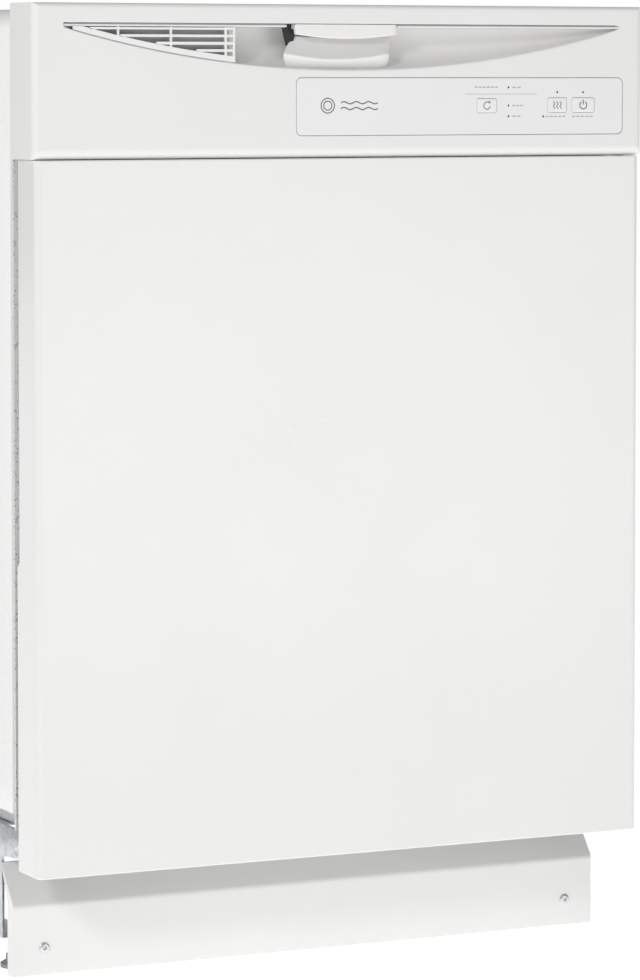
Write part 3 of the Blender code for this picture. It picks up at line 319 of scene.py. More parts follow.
@dataclass
class Mesh:
    """Vertices and faces gathered from several surfaces."""

    points: list[Array] = field(default_factory=list)
    faces: list[tuple[int, ...]] = field(default_factory=list)
    count: int = 0

    def add(self, grid: Array, wrap_rows: bool = False, wrap_columns: bool = False,
            caps: bool = False) -> Mesh:
        """Adds a surface given on a grid, as quads between neighbouring points.

        A closed surface is turned to face outwards. An open one faces the side from which its rows run
        downwards where its columns run to the right.

        Args:
            grid: Points, rows by columns by three.
            wrap_rows: Joins the last row to the first.
            wrap_columns: Joins the last column to the first.
            caps: Closes the first and the last row with a face each.

        Returns:
            The same mesh, so that calls can follow each other.
        """
        rows, columns = grid.shape[:2]
        index = np.arange(rows * columns).reshape(rows, columns) + self.count
        if wrap_rows:
            index = np.vstack([index, index[:1]])
        if wrap_columns:
            index = np.hstack([index, index[:, :1]])
        corners = [index[:-1, :-1], index[1:, :-1], index[1:, 1:], index[:-1, 1:]]
        quads = np.stack(corners, axis=-1).reshape(-1, 4)
        faces = [tuple(q) for q in quads.tolist()]
        if caps:
            faces.append(tuple(index[0, :columns].tolist()))
            faces.append(tuple(index[-1, :columns].tolist()[::-1]))
        if caps or (wrap_rows and wrap_columns):
            if self._volume(grid.reshape(-1, 3), quads - self.count) < 0:
                faces = [f[::-1] for f in faces]
        self.points.append(grid.reshape(-1, 3))
        self.faces.extend(faces)
        self.count += rows * columns
        return self

    def solid(self, grid: Array) -> Mesh:
        """Adds a closed solid: rows that are rings, with a face over the first and the last of them."""
        return self.add(grid, wrap_columns=True, caps=True)

    @staticmethod
    def _volume(points: Array, quads: Array) -> float:
        """Six times the volume that the quads enclose about their middle, by the divergence theorem.

        Args:
            points: The points, count by three.
            quads: Indices into them, count by four.

        Returns:
            The volume, which is negative where the quads face inwards.
        """
        p = (points - points.mean(axis=0))[quads]
        first = np.einsum("ij,ij->i", p[:, 0], np.cross(p[:, 1], p[:, 2]))
        second = np.einsum("ij,ij->i", p[:, 0], np.cross(p[:, 2], p[:, 3]))
        return float((first + second).sum())

    def build(self, name: str, finish: Finish, body: str | None, replaces: Sequence[str] = (),
              smooth: float = 40.0, wall: float = 0.0, merge: float = 0.0) -> bpy.types.Object:
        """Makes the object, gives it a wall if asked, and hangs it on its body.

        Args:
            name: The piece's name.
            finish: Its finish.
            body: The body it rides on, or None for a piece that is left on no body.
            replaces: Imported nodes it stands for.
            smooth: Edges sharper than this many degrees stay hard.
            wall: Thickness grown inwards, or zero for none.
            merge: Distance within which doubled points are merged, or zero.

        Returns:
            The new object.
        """
        data = bpy.data.meshes.new(name)
        data.from_pydata(np.concatenate(self.points).tolist(), [], self.faces)
        if merge:
            bm = bmesh_of(data)
            bmesh.ops.remove_doubles(bm, verts=bm.verts, dist=merge)
            bmesh.ops.dissolve_degenerate(bm, edges=bm.edges, dist=merge)
            bm.to_mesh(data)
            bm.free()
        data.validate()
        data.shade_smooth()
        data.set_sharp_from_angle(angle=math.radians(smooth))
        data.materials.append(finish.build())
        piece = bpy.data.objects.new(name, data)
        bpy.context.scene.collection.objects.link(piece)
        if wall:
            thicken = piece.modifiers.new("wall", "SOLIDIFY")
            thicken.thickness = wall
            thicken.offset = -1.0
            thicken.use_even_offset = False
            thicken.use_quality_normals = True
        if not merge or wall:
            even_shading(piece)
        if body:
            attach(piece, body)
        if replaces:
            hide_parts(*replaces)
        LOG.info("%s: %d points on %s", name, len(data.vertices), body or "two bodies")
        return piece


def even_shading(piece: bpy.types.Object) -> None:
    """Lets large faces set the shading beside narrow rounds, so that flat faces stay flat.

    Args:
        piece: The piece, with its other modifiers already on it.
    """
    normals = piece.modifiers.new("shading", "WEIGHTED_NORMAL")
    normals.keep_sharp = True
    normals.weight = 60


def bmesh_of(data: bpy.types.Mesh) -> bmesh.types.BMesh:
    """An editable copy of a mesh.

    Args:
        data: The mesh.

    Returns:
        The copy, for the caller to free.
    """
    bm = bmesh.new()
    bm.from_mesh(data)
    return bm


def bake(piece: bpy.types.Object) -> None:
    """Puts the result of a piece's modifiers into its mesh, and drops the modifiers.

    Args:
        piece: The piece.
    """
    bpy.context.view_layer.update()
    graph = bpy.context.evaluated_depsgraph_get()
    data = bpy.data.meshes.new_from_object(piece.evaluated_get(graph))
    piece.modifiers.clear()
    piece.data = data


def cut(piece: bpy.types.Object, tool: Mesh) -> None:
    """Cuts a closed tool out of a closed piece, and puts the result into the piece's mesh.

    Args:
        piece: The piece that is cut.
        tool: Closed surfaces that face outwards.
    """
    data = bpy.data.meshes.new("tool")
    data.from_pydata(np.concatenate(tool.points).tolist(), [], tool.faces)
    cutter = bpy.data.objects.new("tool", data)
    bpy.context.scene.collection.objects.link(cutter)
    piece.modifiers.clear()
    knife = piece.modifiers.new("cut", "BOOLEAN")
    knife.operation = "DIFFERENCE"
    knife.solver = "EXACT"
    knife.object = cutter
    bake(piece)
    bpy.data.objects.remove(cutter, do_unlink=True)
    even_shading(piece)


def arc(start: float, end: float, steps: int) -> Array:
    """Angles in radians from start to end, given in degrees, ends included."""
    return np.radians(np.linspace(start, end, steps + 1))


def rounded_rectangle(x0: float, x1: float, z0: float, z1: float, radius: float, steps: int = 6) -> Array:
    """A rectangle with round corners: four quarter circles joined by straight sides.

    Args:
        x0: Left side.
        x1: Right side.
        z0: Lower side.
        z1: Upper side.
        radius: Corner radius.
        steps: Pieces in each quarter circle.

    Returns:
        Points counter-clockwise, four corners times steps plus one, by two.
    """
    starts = (-90, 0, 90, 180)
    middles = ((x1 - radius, z0 + radius), (x1 - radius, z1 - radius), (x0 + radius, z1 - radius),
               (x0 + radius, z0 + radius))
    corners = []
    for (cx, cz), start in zip(middles, starts):
        turn = arc(start, start + 90, steps)
        corners.append(np.stack([cx + radius * np.cos(turn), cz + radius * np.sin(turn)], axis=-1))
    return np.concatenate(corners)


def upright(outline: Array, y: float | Array) -> Array:
    """Puts a flat outline of (x, z) points at a depth y."""
    depth = np.broadcast_to(np.asarray(y, float), outline.shape[:-1])
    return np.stack([outline[..., 0], depth, outline[..., 1]], axis=-1)


def pad(x: tuple[float, float], z: tuple[float, float], front: float, back: float, corner: float,
        edge: float, crown: float = 0.0) -> Mesh:
    """A flat moulding with round corners and a quarter-round front edge.

    Each row is the outline drawn in by edge times one minus cosine of an angle, and set forward by edge
    times the angle's sine; further rows shrink towards the middle and rise by the crown.

    Args:
        x: Left and right sides.
        z: Lower and upper sides.
        front: Depth of the face.
        back: Depth of the rear.
        corner: Corner radius.
        edge: Radius of the front edge.
        crown: Extra height of the middle.

    Returns:
        A closed mesh.
    """
    rows = [upright(rounded_rectangle(*x, *z, corner), back)]
    for turn in arc(0, 90, 4):
        inset = edge * (1 - math.cos(turn))
        outline = rounded_rectangle(x[0] + inset, x[1] - inset, z[0] + inset, z[1] - inset,
                                    max(corner - inset, corner * 0.3))
        rows.append(upright(outline, front + edge - edge * math.sin(turn)))
    middle = np.array([sum(x) / 2, sum(z) / 2])
    flat = rows[-1][:, [0, 2]]
    for share in (0.92, 0.75, 0.5):
        rise = crown * (1 - share ** 2)
        rows.append(upright(middle + (flat - middle) * share, front - rise))
    return Mesh().solid(np.stack(rows))


def block(x: tuple[float, float], z: tuple[float, float], y: tuple[float, float], corner: float) -> Array:
    """A straight prism with round corners, used as a cutting tool."""
    outline = rounded_rectangle(*x, *z, corner)
    return np.stack([upright(outline, y[0]), upright(outline, y[1])])


def plate(x: Array, low: Array, high: Array, near: float, far: float) -> Array:
    """A flat plate between a lower and an upper line.

    Args:
        x: Places along both lines.
        low: Heights of the lower line.
        high: Heights of the upper line.
        near: Depth of the front face.
        far: Depth of the rear face.

    Returns:
        A grid of two loops of points.
    """
    lower, upper = np.stack([x, low], -1), np.stack([x, high], -1)
    return np.stack([upright(np.vstack([lower, upper[::-1]]), y) for y in (near, far)])


# Thickness of a printed band, drawn thicker than real ink so that it stands clear of the face behind it.
INK_THICKNESS = 0.00012


def ribbon(path: Array, width: float, y: float, ring: bool = False) -> Array:
    """A flat printed band along a path of (x, z) points, closed all round.

    Each side line is the path moved by half the width along the normal to its central-difference step.

    Args:
        path: Points, count by two.
        width: The band's width.
        y: Depth of its face.
        ring: Whether the path's last point joins its first.

    Returns:
        A grid of points, path by four by three.
    """
    step = np.roll(path, -1, axis=0) - np.roll(path, 1, axis=0) if ring else np.gradient(path, axis=0)
    step /= np.linalg.norm(step, axis=1, keepdims=True)
    side = np.stack([-step[:, 1], step[:, 0]], -1) * width / 2
    rear = y + INK_THICKNESS
    corners = [upright(path + side, y), upright(path - side, y), upright(path - side, rear),
               upright(path + side, rear)]
    return np.stack(corners, axis=1)


def tube(path: Array, radius: float, sides: int = 8) -> Array:
    """A round bar along a path: a ring at each point, square to the path.

    The rings' axes are carried along the path by projecting the last one square to each new tangent.

    Args:
        path: Points, count by three.
        radius: The bar's radius.
        sides: Points in each ring.

    Returns:
        A grid of points, path by sides by three.
    """
    tangent = np.gradient(path, axis=0)
    tangent /= np.linalg.norm(tangent, axis=1, keepdims=True)
    guess = np.array([0.0, 0.0, 1.0]) if abs(tangent[0, 2]) < 0.9 else np.array([1.0, 0.0, 0.0])
    first = np.zeros_like(path)
    for i, t in enumerate(tangent):
        guess = guess - t * guess.dot(t)
        guess = guess / np.linalg.norm(guess)
        first[i] = guess
    second = np.cross(tangent, first)
    turn = np.linspace(0, 2 * np.pi, sides, endpoint=False)
    ring = np.cos(turn)[None, :, None] * first[:, None] + np.sin(turn)[None, :, None] * second[:, None]
    return path[:, None] + radius * ring


def line(start: Point, end: Point, count: int = 2) -> Array:
    """Evenly spaced points on a straight line."""
    return np.linspace(np.array(start, float), np.array(end, float), count)


def lathe(profile: Array, centre: Point, axis: str = "z", sides: int = 40) -> Array:
    """Turns a profile of (radius, height) about an axis through a centre.

    Args:
        profile: Points, count by two; the first and last lie near the axis.
        centre: A point on the axis, from which heights count.
        axis: x, y or z.
        sides: Points in a turn.

    Returns:
        A grid of points, profile by sides by three.
    """
    turn = np.linspace(0, 2 * np.pi, sides, endpoint=False)
    radius, height = profile[:, :1], np.repeat(profile[:, 1:], sides, axis=1)
    a, b = radius * np.cos(turn), radius * np.sin(turn)
    order = {"x": (height, a, b), "y": (b, height, a), "z": (a, b, height)}[axis]
    return np.stack(order, axis=-1) + np.array(centre)


def through(points: Sequence[Sequence[float]], steps: int = 4) -> Array:
    """A smooth curve through points: each stretch is the Catmull-Rom cubic of its two ends and neighbours.

    Args:
        points: The points that the curve passes, count by any number of values.
        steps: Pieces in each stretch.

    Returns:
        Points on the curve, ends included.
    """
    p = np.array(points, float)
    p = np.vstack([2 * p[0] - p[1], p, 2 * p[-1] - p[-2]])
    t = np.linspace(0, 1, steps, endpoint=False)[None, :, None]
    a, b, c, d = (p[i:len(p) - 3 + i, None, :] for i in range(4))
    square, cube = 2 * a - 5 * b + 4 * c - d, 3 * b - a - 3 * c + d
    curve = 0.5 * (2 * b + (c - a) * t + square * t ** 2 + cube * t ** 3)
    return np.vstack([curve.reshape(-1, p.shape[1]), p[-2]])


def ease(value: Array) -> Array:
    """Zero below 0, one above 1, and a smooth cubic step between."""
    t = np.clip(value, 0.0, 1.0)
    return t * t * (3 - 2 * t)


def carry(depth: Array, height: Array, across: Array, least: Array) -> Array:
    """Carries a section across a width, with rounded ends.

    A point's place is (across, the larger of its depth and the least depth there, height), so where the
    least depth grows at the two ends, the face turns back along the plan's corner and becomes a side wall.

    Args:
        depth: Depth of each section point, stations by points.
        height: Its height, stations by points.
        across: Each station's place across the width.
        least: Each station's least depth.

    Returns:
        A grid of points, stations by points by three.
    """
    wide = np.broadcast_to(across[:, None], depth.shape)
    return np.stack([wide, np.maximum(depth, least[:, None]), height], axis=-1)


def stations(half: float, corner: float, front: float, back: float, inner: Array) -> tuple[Array, Array]:
    """Places across a width and the least depth at each, for a face with round corners and side walls.

    Args:
        half: Half the width.
        corner: Radius of the corner in plan.
        front: Depth of the face.
        back: Depth where the side walls end.
        inner: Places between the two corners.

    Returns:
        The places and the least depths, from one side to the other.
    """
    turn = arc(0, 90, 8)
    across = np.concatenate([[half], half - corner + corner * np.cos(turn)])
    least = np.concatenate([[back], front + corner - corner * np.sin(turn)])
    flat = np.full(len(inner), front)
    return np.concatenate([-across, inner, across[::-1]]), np.concatenate([least, flat, least[::-1]])


# ---------------------------------------------------------------- door front

# The latch cup's face from top to foot: depth behind the console's face, height, left, right, and how far
# the face rises from its middle to its sides.
CUP_CURVE = (
    (0.0150, 0.8400, -0.0467, 0.0488, 0.0012), (0.0132, 0.8362, -0.0495, 0.0478, 0.0022),
    (0.0102, 0.8302, -0.0535, 0.0454, 0.0036), (0.0068, 0.8246, -0.0578, 0.0428, 0.0047),
    (0.0047, 0.8217, -0.0600, 0.0421, 0.0052), (0.0040, 0.8207, -0.0605, 0.0421, 0.0053),
    (0.0045, 0.8196, -0.0604, 0.0423, 0.0050), (0.0060, 0.8181, -0.0594, 0.0430, 0.0040),
    (0.0080, 0.8162, -0.0575, 0.0432, 0.0026), (0.0102, 0.8138, -0.0552, 0.0416, 0.0008),
    (0.0125, 0.8118, -0.0530, 0.0400, 0.0))
# Outline of the black plate beside the lever that paints the shade in the opening there, as (x, z).
PAINTED_SHADE_OUTLINE = ((-0.0600, 0.8524), (-0.0592, 0.8478), (-0.0575, 0.8400), (-0.0556, 0.8330),
                (-0.0500, 0.8330), (-0.0470, 0.8420), (-0.0470, 0.8524))
# The vent's level bars, as lower and upper heights, and its ribs, as middle and width.
VENT_BARS = ((0.8469, 0.8488), (0.8404, 0.8426), (0.8337, 0.8362), (0.8275, 0.8297))
VENT_RIBS = ((-0.2226, 0.0018), (-0.1723, 0.0018), (-0.1195, 0.0022), (-0.1117, 0.0022))
# Middles of the six lamp lenses, as (x, z).
LENSES = ((0.1629, 0.7957), (0.1629, 0.7792), (0.1629, 0.7694), (0.2135, 0.7913), (0.2406, 0.7912),
          (0.1989, 0.7691))
# Captions made of short bars: start, end and height of each.
CAPTIONS = ((0.128, 0.153, 0.7960), (0.1668, 0.1768, 0.7957), (0.1668, 0.1790, 0.7792),
            (0.1668, 0.1765, 0.7694), (0.2015, 0.2230, 0.7690), (0.2290, 0.2520, 0.7690))


class Sign(Enum):
    """The pictogram on a key."""

    TURN = "a ring with an arrow"
    WARM = "three rising waves"
    START = "a ring with a bar"


@dataclass
class Console:
    """The moulded console: a rounded shell with a crescent handle pocket and a seat for the control panel."""

    foot_depth: float = 0.0435
    lower_round: float = 0.0090
    upper_round: float = 0.0040
    side_round: float = 0.0065
    pocket_left: float = -0.2750
    pocket_right: float = 0.2800
    arc_x: float = 0.0008
    arc_low: float = 0.8117
    arc_radius: float = 1.041
    ceiling: float = 0.8497
    ridge_top: float = 0.8515
    groove_top: float = 0.8529
    pocket_depth: float = 0.0340
    lip: float = 0.0016
    notch_left: float = -0.0602
    notch_right: float = 0.0515
    seat_gap: float = 0.00065
    seat_depth: float = 0.0022
    seat_corner: float = 0.0055
    key_gap: float = 0.00035
    caption_pitch: float = 0.0042
    caption_fill: float = 0.74
    vent_right: float = -0.1106
    vent_border: float = 0.0052
    body: str = "door"

    def __post_init__(self) -> None:
        """Reads the console's and the control panel's places from the frame."""
        (_, self.front, self.low), (self.half, self.back, self.high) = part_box("console_housing")
        (x0, _, z0), (x1, _, z1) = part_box("control_overlay")
        self.panel = (x0, x1, z0, z1)

    def arc_height(self, x: Array) -> Array:
        """Height of the pocket's lower edge: a circle's lowest part, held at the ceiling beyond its tips.

        Args:
            x: Places across the console.

        Returns:
            A height for each place.
        """
        circle = self.arc_low + self.arc_radius - np.sqrt(self.arc_radius ** 2 - (x - self.arc_x) ** 2)
        inside = ease((x - self.pocket_left) / 0.002) * ease((self.pocket_right - x) / 0.006)
        return self.ceiling - (self.ceiling - np.minimum(circle, self.ceiling - 0.0002)) * inside

    def seat_edges(self, x: Array) -> tuple[Array, Array, Array]:
        """Lower and upper edge of the panel's seat at x, following its round corners, and its depth.

        Args:
            x: Places across the console.

        Returns:
            Lower heights, upper heights and depths, which are zero beside the seat.
        """
        x0, x1, z0, z1 = self.panel
        left, right = x0 - self.seat_gap, x1 + self.seat_gap
        low, high, r = z0 - self.seat_gap, z1 + self.seat_gap, self.seat_corner
        reach = np.clip(np.maximum(left + r - x, x - right + r), 0.0, r)
        rise = r - np.sqrt(r ** 2 - reach ** 2)
        depth = np.where((x > left) & (x < right), self.seat_depth, 0.0)
        return low + rise, high - rise, depth

    def across(self) -> Array:
        """Stations between the corners: even steps, closer at the seat's sides and the pocket's tips.

        Returns:
            The stations from left to right, each once.
        """
        edge = self.half - self.side_round
        even = np.linspace(-edge + 0.002, edge - 0.002, 170)
        x0, x1 = self.panel[0] - self.seat_gap, self.panel[1] + self.seat_gap
        near = [x0 - 2e-5, x0 + 2e-5, x1 - 2e-5, x1 + 2e-5]
        corner = self.seat_corner * (1 - np.cos(arc(0, 90, 7)[1:]))
        tips = [self.pocket_left + t for t in (0.0, 0.001, 0.002)]
        tips += [self.pocket_right - t for t in (0, 0.003, 0.006)]
        sides = [edge + t for edge in (self.notch_left, self.notch_right) for t in (-2e-5, 2e-5)]
        return np.unique(np.round(np.concatenate([even, near, x0 + corner, x1 - corner, tips, sides]), 6))

    def section(self, x: Array) -> tuple[Array, Array]:
        """The outline of the console at each x, from the foot's rear round the front to the top's rear.

        In order: the foot, a quarter round, the face with the panel's seat, the pocket's rounded lip, a
        quarter ellipse for its bowl, its ceiling, a thin ridge, the groove over it, the upper band and the
        top. Depths count from the front face. Beside the pocket its points lie on the face.

        Args:
            x: Stations across the console.

        Returns:
            Depth and height of each point, stations by points.
        """
        zero, one = np.zeros((len(x), 1)), np.ones((len(x), 1))
        rows: list[tuple[Array, Array]] = []

        def put(depth: Array, height: Array) -> None:
            """Appends section points, given as (depth, height) for all stations or for each."""
            shape = np.broadcast_shapes(np.shape(depth), np.shape(height), (len(x), 1))
            rows.append((np.broadcast_to(depth, shape), np.broadcast_to(height, shape)))

        edge = self.arc_height(x)[:, None]
        tall = self.ceiling - edge
        share = np.clip(tall / (self.ceiling - self.arc_low), 0.0, 1.0)
        deep = self.pocket_depth * share ** 0.55
        lip = np.minimum(self.lip, tall * 0.35)
        put(np.array([self.foot_depth, 0.025, 0.012]), self.low * one)
        turn = arc(0, 90, 8)
        put(self.lower_round * (1 - np.sin(turn)), self.low + self.lower_round * (1 - np.cos(turn)))
        seat_low, seat_high, seat = (v[:, None] for v in self.seat_edges(x))
        put(zero, seat_low - 0.004 * one)
        put(zero, seat_low)
        put(seat, seat_low + 2e-5)
        put(seat, (seat_low + seat_high) / 2)
        put(seat, seat_high - 2e-5)
        put(zero, seat_high)
        put(zero, seat_high + 0.3 * (edge - lip - seat_high))
        put(zero, seat_high + 0.8 * (edge - lip - seat_high))
        turn = arc(0, 90, 5)
        put(lip * (1 - np.cos(turn)), edge - lip + lip * np.sin(turn))
        turn = arc(6, 90, 15)
        put(lip + (deep - lip) * np.sin(turn), edge + tall * (1 - np.cos(turn)))
        under = ((x > self.notch_left) & (x < self.notch_right))[:, None]
        shelf = ease((x - self.pocket_left) / 0.004)[:, None] * ease((self.pocket_right - x) / 0.008)[:, None]
        shelf_deep = np.maximum(deep, 0.0001) * np.array([0.8, 0.4]) + 0.0016 * shelf
        put(np.where(under, np.maximum(shelf_deep, 0.014), shelf_deep), self.ceiling * one)
        turn = arc(-90, 90, 6)
        nose = 0.5 * (self.ridge_top - self.ceiling)
        ridge = shelf * (0.0017 - nose * np.cos(turn))
        put(np.where(under, 0.014, ridge), (self.ceiling + self.ridge_top) / 2 + nose * np.sin(turn))
        put(np.where(under, 0.014, 0.006 * shelf), self.ridge_top * one + 1e-5)
        put(np.where(under, 0.014, 0.006 * shelf), self.groove_top * one)
        turn = arc(90, 0, 3)
        put(shelf * 0.0004 * (1 - np.cos(turn)), self.groove_top + 0.0004 * (1 - np.sin(turn)))
        put(zero, np.array([self.groove_top + 0.0010, self.high - self.upper_round - 0.001]) * one)
        turn = arc(0, 90, 6)
        put(self.upper_round * (1 - np.cos(turn)),
            self.high - self.upper_round + self.upper_round * np.sin(turn))
        put(np.array([0.02, 0.04, self.back - self.front]), self.high * one)
        return np.hstack([d for d, _ in rows]), np.hstack([z for _, z in rows])

    def build(self) -> None:
        """Makes the shell, the latch's cup with its painted-shade plate, the vent grille and the control
        panel.
        """
        across, least = stations(self.half, self.side_round, self.front, self.back, self.across())
        inner = np.clip(across, -self.half + self.side_round, self.half - self.side_round)
        depth, height = self.section(inner)
        ends = np.abs(across) > self.half - 1e-6
        depth[ends, :3] = self.lower_round
        depth[ends, -3:] = self.upper_round
        grid = carry(self.front + depth, height, across, least)
        Mesh().add(grid).build("console_shell", WHITE_ABS, self.body, ["console_housing"], 32.0, 0.0022, 2e-6)
        self.build_cup()
        self.build_groove_shade()
        self.build_grille()
        self.build_panel()
        self.build_prints()

    def build_cup(self) -> None:
        """The scooped face under the lever, and a black plate beside it that paints the shade in the opening
        there.

        The face is a curve of (depth, height, left, right, sag) values carried between its two sides; its
        height gains the sag times the square of the distance from the middle.
        """
        curve = through(CUP_CURVE, 4)
        share = np.linspace(-1, 1, 33)
        depth, height, left, right, sag = (curve[:, k][None, :] for k in range(5))
        middle, reach = (left + right) / 2, (right - left) / 2
        x = middle + reach * share[:, None]
        z = height + sag * share[:, None] ** 2
        soft = 0.0010 * np.abs(share[:, None]) ** 14
        face = np.stack([x, self.front + depth + soft, z], axis=-1)
        near, far = face[:1] + np.array([0.008, 0.014, 0.0]), face[-1:] + np.array([-0.003, 0.014, 0.0])
        cup = Mesh().add(np.concatenate([near, face, far]))
        cup.build("latch_cup", WHITE_ABS, self.body, (), 50.0, 0.0012)

        # A black plate that paints the shade in the opening beside the lever.
        outline = np.array(PAINTED_SHADE_OUTLINE)
        rows = [upright(outline, self.front + d) for d in (0.0120, 0.0132)]
        Mesh().solid(np.stack(rows)).build("latch_painted_shade_plate", BLACK_NYLON, self.body)

    def build_groove_shade(self) -> None:
        """The grey strip that closes the groove over the pocket and paints the shade of the gap behind it,
        one length on each side of the lever.
        """
        strip = Mesh()
        for start, end in ((self.pocket_left + 0.004, self.notch_left - 0.0004),
                           (self.notch_right + 0.0004, self.pocket_right - 0.006)):
            loop = rounded_rectangle(0.0012, 0.0040, self.ridge_top + 0.0001, self.groove_top - 0.0001,
                                     0.0004, 3)
            ring = np.stack([np.zeros(len(loop)), self.front + loop[:, 0], loop[:, 1]], -1)
            place = np.linspace(start, end, 24)[:, None, None] * np.array([1.0, 0.0, 0.0])
            strip.solid(ring[None] + place)
        strip.build("groove_painted_shade_strip", GREY_PP, self.body, (), 30.0)

    def build_grille(self) -> None:
        """The vent: a border along the arc, level bars that start from it, ribs, and a grey duct behind whose
        colour paints the shade in the slots.
        """
        right, border, top = self.vent_right, self.vent_border, self.ceiling - 0.0002
        front, back = self.front + 0.0005, self.front + 0.0028

        x = np.linspace(-0.2650, right, 40)
        low = self.arc_height(x) + 0.0004
        mesh = Mesh().solid(plate(x, low, np.minimum(low + border, top), front, back))
        for z0, z1 in VENT_BARS:
            start = self.arc_x - math.sqrt(2 * self.arc_radius * max(z0 - border - self.arc_low, 1e-4))
            span = np.linspace(max(start, -0.262), right, 3)
            mesh.solid(plate(span, np.full(3, z0), np.full(3, z1), front, back))
        for middle, wide in VENT_RIBS:
            span = np.array([middle - wide / 2, middle + wide / 2])
            foot = self.arc_height(span) + 0.002
            mesh.solid(plate(span, foot, np.full(2, top), front + 0.0001, back))
        mesh.build("vent_bars", POLISHED_ABS, self.body, ["vent_grille"], 30.0)

        # The duct plate's grey paints the shade that falls inside the vent's slots.
        x = np.linspace(-0.2600, right - 0.003, 30)
        low = self.arc_height(x) + 0.0025
        duct_and_shade = plate(x, low, np.maximum(np.full(30, top - 0.0004), low + 0.0005), self.front + 0.0085,
                     self.front + 0.0110)
        Mesh().solid(duct_and_shade).build("vent_duct_painted_shade", DUCT_PAINTED_SHADE_GREY, self.body)

    def build_panel(self) -> None:
        """The label-covered control panel, its three keys and its six lamp lenses."""
        x0, x1, z0, z1 = self.panel
        face = self.front + 0.0001
        panel = pad((x0, x1), (z0, z1), face, face + 0.0019, 0.0050, 0.0004).build(
            "control_panel", LABEL_FILM, self.body, ["control_overlay"], 30.0)
        holes = Mesh()
        gap = self.key_gap
        for name in ("button_cycles", "button_heat_dry", "button_start"):
            (bx0, _, bz0), (bx1, _, bz1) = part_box(name)
            holes.solid(block((bx0 - gap, bx1 + gap), (bz0 - gap, bz1 + gap), (face - 0.002, face + 0.004),
                              0.0021))
            pad((bx0, bx1), (bz0, bz1), face - 0.0001, face + 0.0011, 0.0018, 0.0004, 0.00015).build(
                f"{name}_key", POLISHED_ABS, name, [name], 30.0)
        cut(panel, holes)

        lenses = Mesh()
        for x, z in LENSES:
            turn = arc(0, 90, 5)
            dome = np.stack([0.0009 * np.cos(turn) + 1e-6, 0.0005 * np.sin(turn)], -1)
            profile = np.vstack([[0.0009, -0.0008], dome]) * np.array([1.0, -1.0])
            lenses.solid(lathe(profile, (x, face, z), "y", 16))
        lenses.build("lamp_lenses", SMOKED_ACRYLIC, self.body)

    def build_prints(self) -> None:
        """Printed marks with no lettering: rules, short bars for captions, and a sign on each key."""
        face = self.front + 0.0001
        skin = face - INK_THICKNESS / 2
        pale = Mesh()
        for x0, x1, z in CAPTIONS:
            count = max(2, round((x1 - x0) / self.caption_pitch))
            pitch = (x1 - x0) / count
            for start in x0 + pitch * np.arange(count):
                dash = np.array([(start, z), (start + pitch * self.caption_fill, z)])
                pale.solid(ribbon(dash, 0.0011, skin))
        pale.solid(ribbon(np.array([(0.1188, 0.7897), (0.1923, 0.7897)]), 0.0005, skin))
        pale.build("printed_captions", PRINT_PALE, self.body)

        turn = arc(0, 360, 48)[:-1]
        ring = np.stack([np.cos(turn), np.sin(turn)], -1)
        emblem = Mesh()
        for radius in (0.0066, 0.0040):
            emblem.add(ribbon(np.array([-0.0200, 0.7795]) + radius * ring, 0.0009, skin, True),
                       wrap_rows=True, wrap_columns=True)
        for rise in (0.0026, -0.0026):
            x = np.linspace(-0.0070, 0.0300, 37)
            wave = 0.7795 + rise + 0.0010 * np.sin((x + 0.007) * 2 * np.pi / 0.0123)
            emblem.solid(ribbon(np.stack([x, wave], -1), 0.0010, skin))
        emblem.build("printed_emblem", PRINT_DARK, self.body)

        self.key_sign("button_cycles", face, Sign.TURN)
        self.key_sign("button_heat_dry", face, Sign.WARM)
        self.key_sign("button_start", face, Sign.START)

    def key_sign(self, name: str, face: float, sign: Sign) -> None:
        """A small pictogram on a key: a ring with an arrow, three rising waves, or a ring with a bar.

        Args:
            name: The key's node and body.
            face: Depth of the panel's face.
            sign: Which pictogram it carries.
        """
        (x0, _, z0), (x1, _, z1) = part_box(name)
        middle = np.array([(x0 + x1) / 2, (z0 + z1) / 2])
        y = face - 0.00032
        mesh = Mesh()
        if sign is Sign.TURN:
            turn = arc(50, 350, 30)
            mesh.solid(ribbon(middle + 0.0033 * np.stack([np.cos(turn), np.sin(turn)], -1), 0.0007, y))
            tip = middle + 0.0033 * np.array([np.cos(turn[0]), np.sin(turn[0])])
            for step in ((0.0019, 0.0002), (0.0001, 0.0019)):
                mesh.solid(ribbon(np.array([tip, tip + np.array(step)]), 0.0007, y))
        elif sign is Sign.WARM:
            for k in (-1, 0, 1):
                z = np.linspace(-0.0035, 0.0035, 21)
                x = 0.0034 * k + 0.0007 * np.sin(z * 2 * np.pi / 0.0046)
                mesh.solid(ribbon(middle + np.stack([x, z], -1), 0.0007, y))
        else:
            turn = arc(125, 415, 30)
            mesh.solid(ribbon(middle + 0.0036 * np.stack([np.cos(turn), np.sin(turn)], -1), 0.0009, y))
            mesh.solid(ribbon(middle + np.array([(0, 0.0006), (0, 0.0048)]), 0.0009, y))
        mesh.build(f"{name}_sign", PRINT_DARK, name)


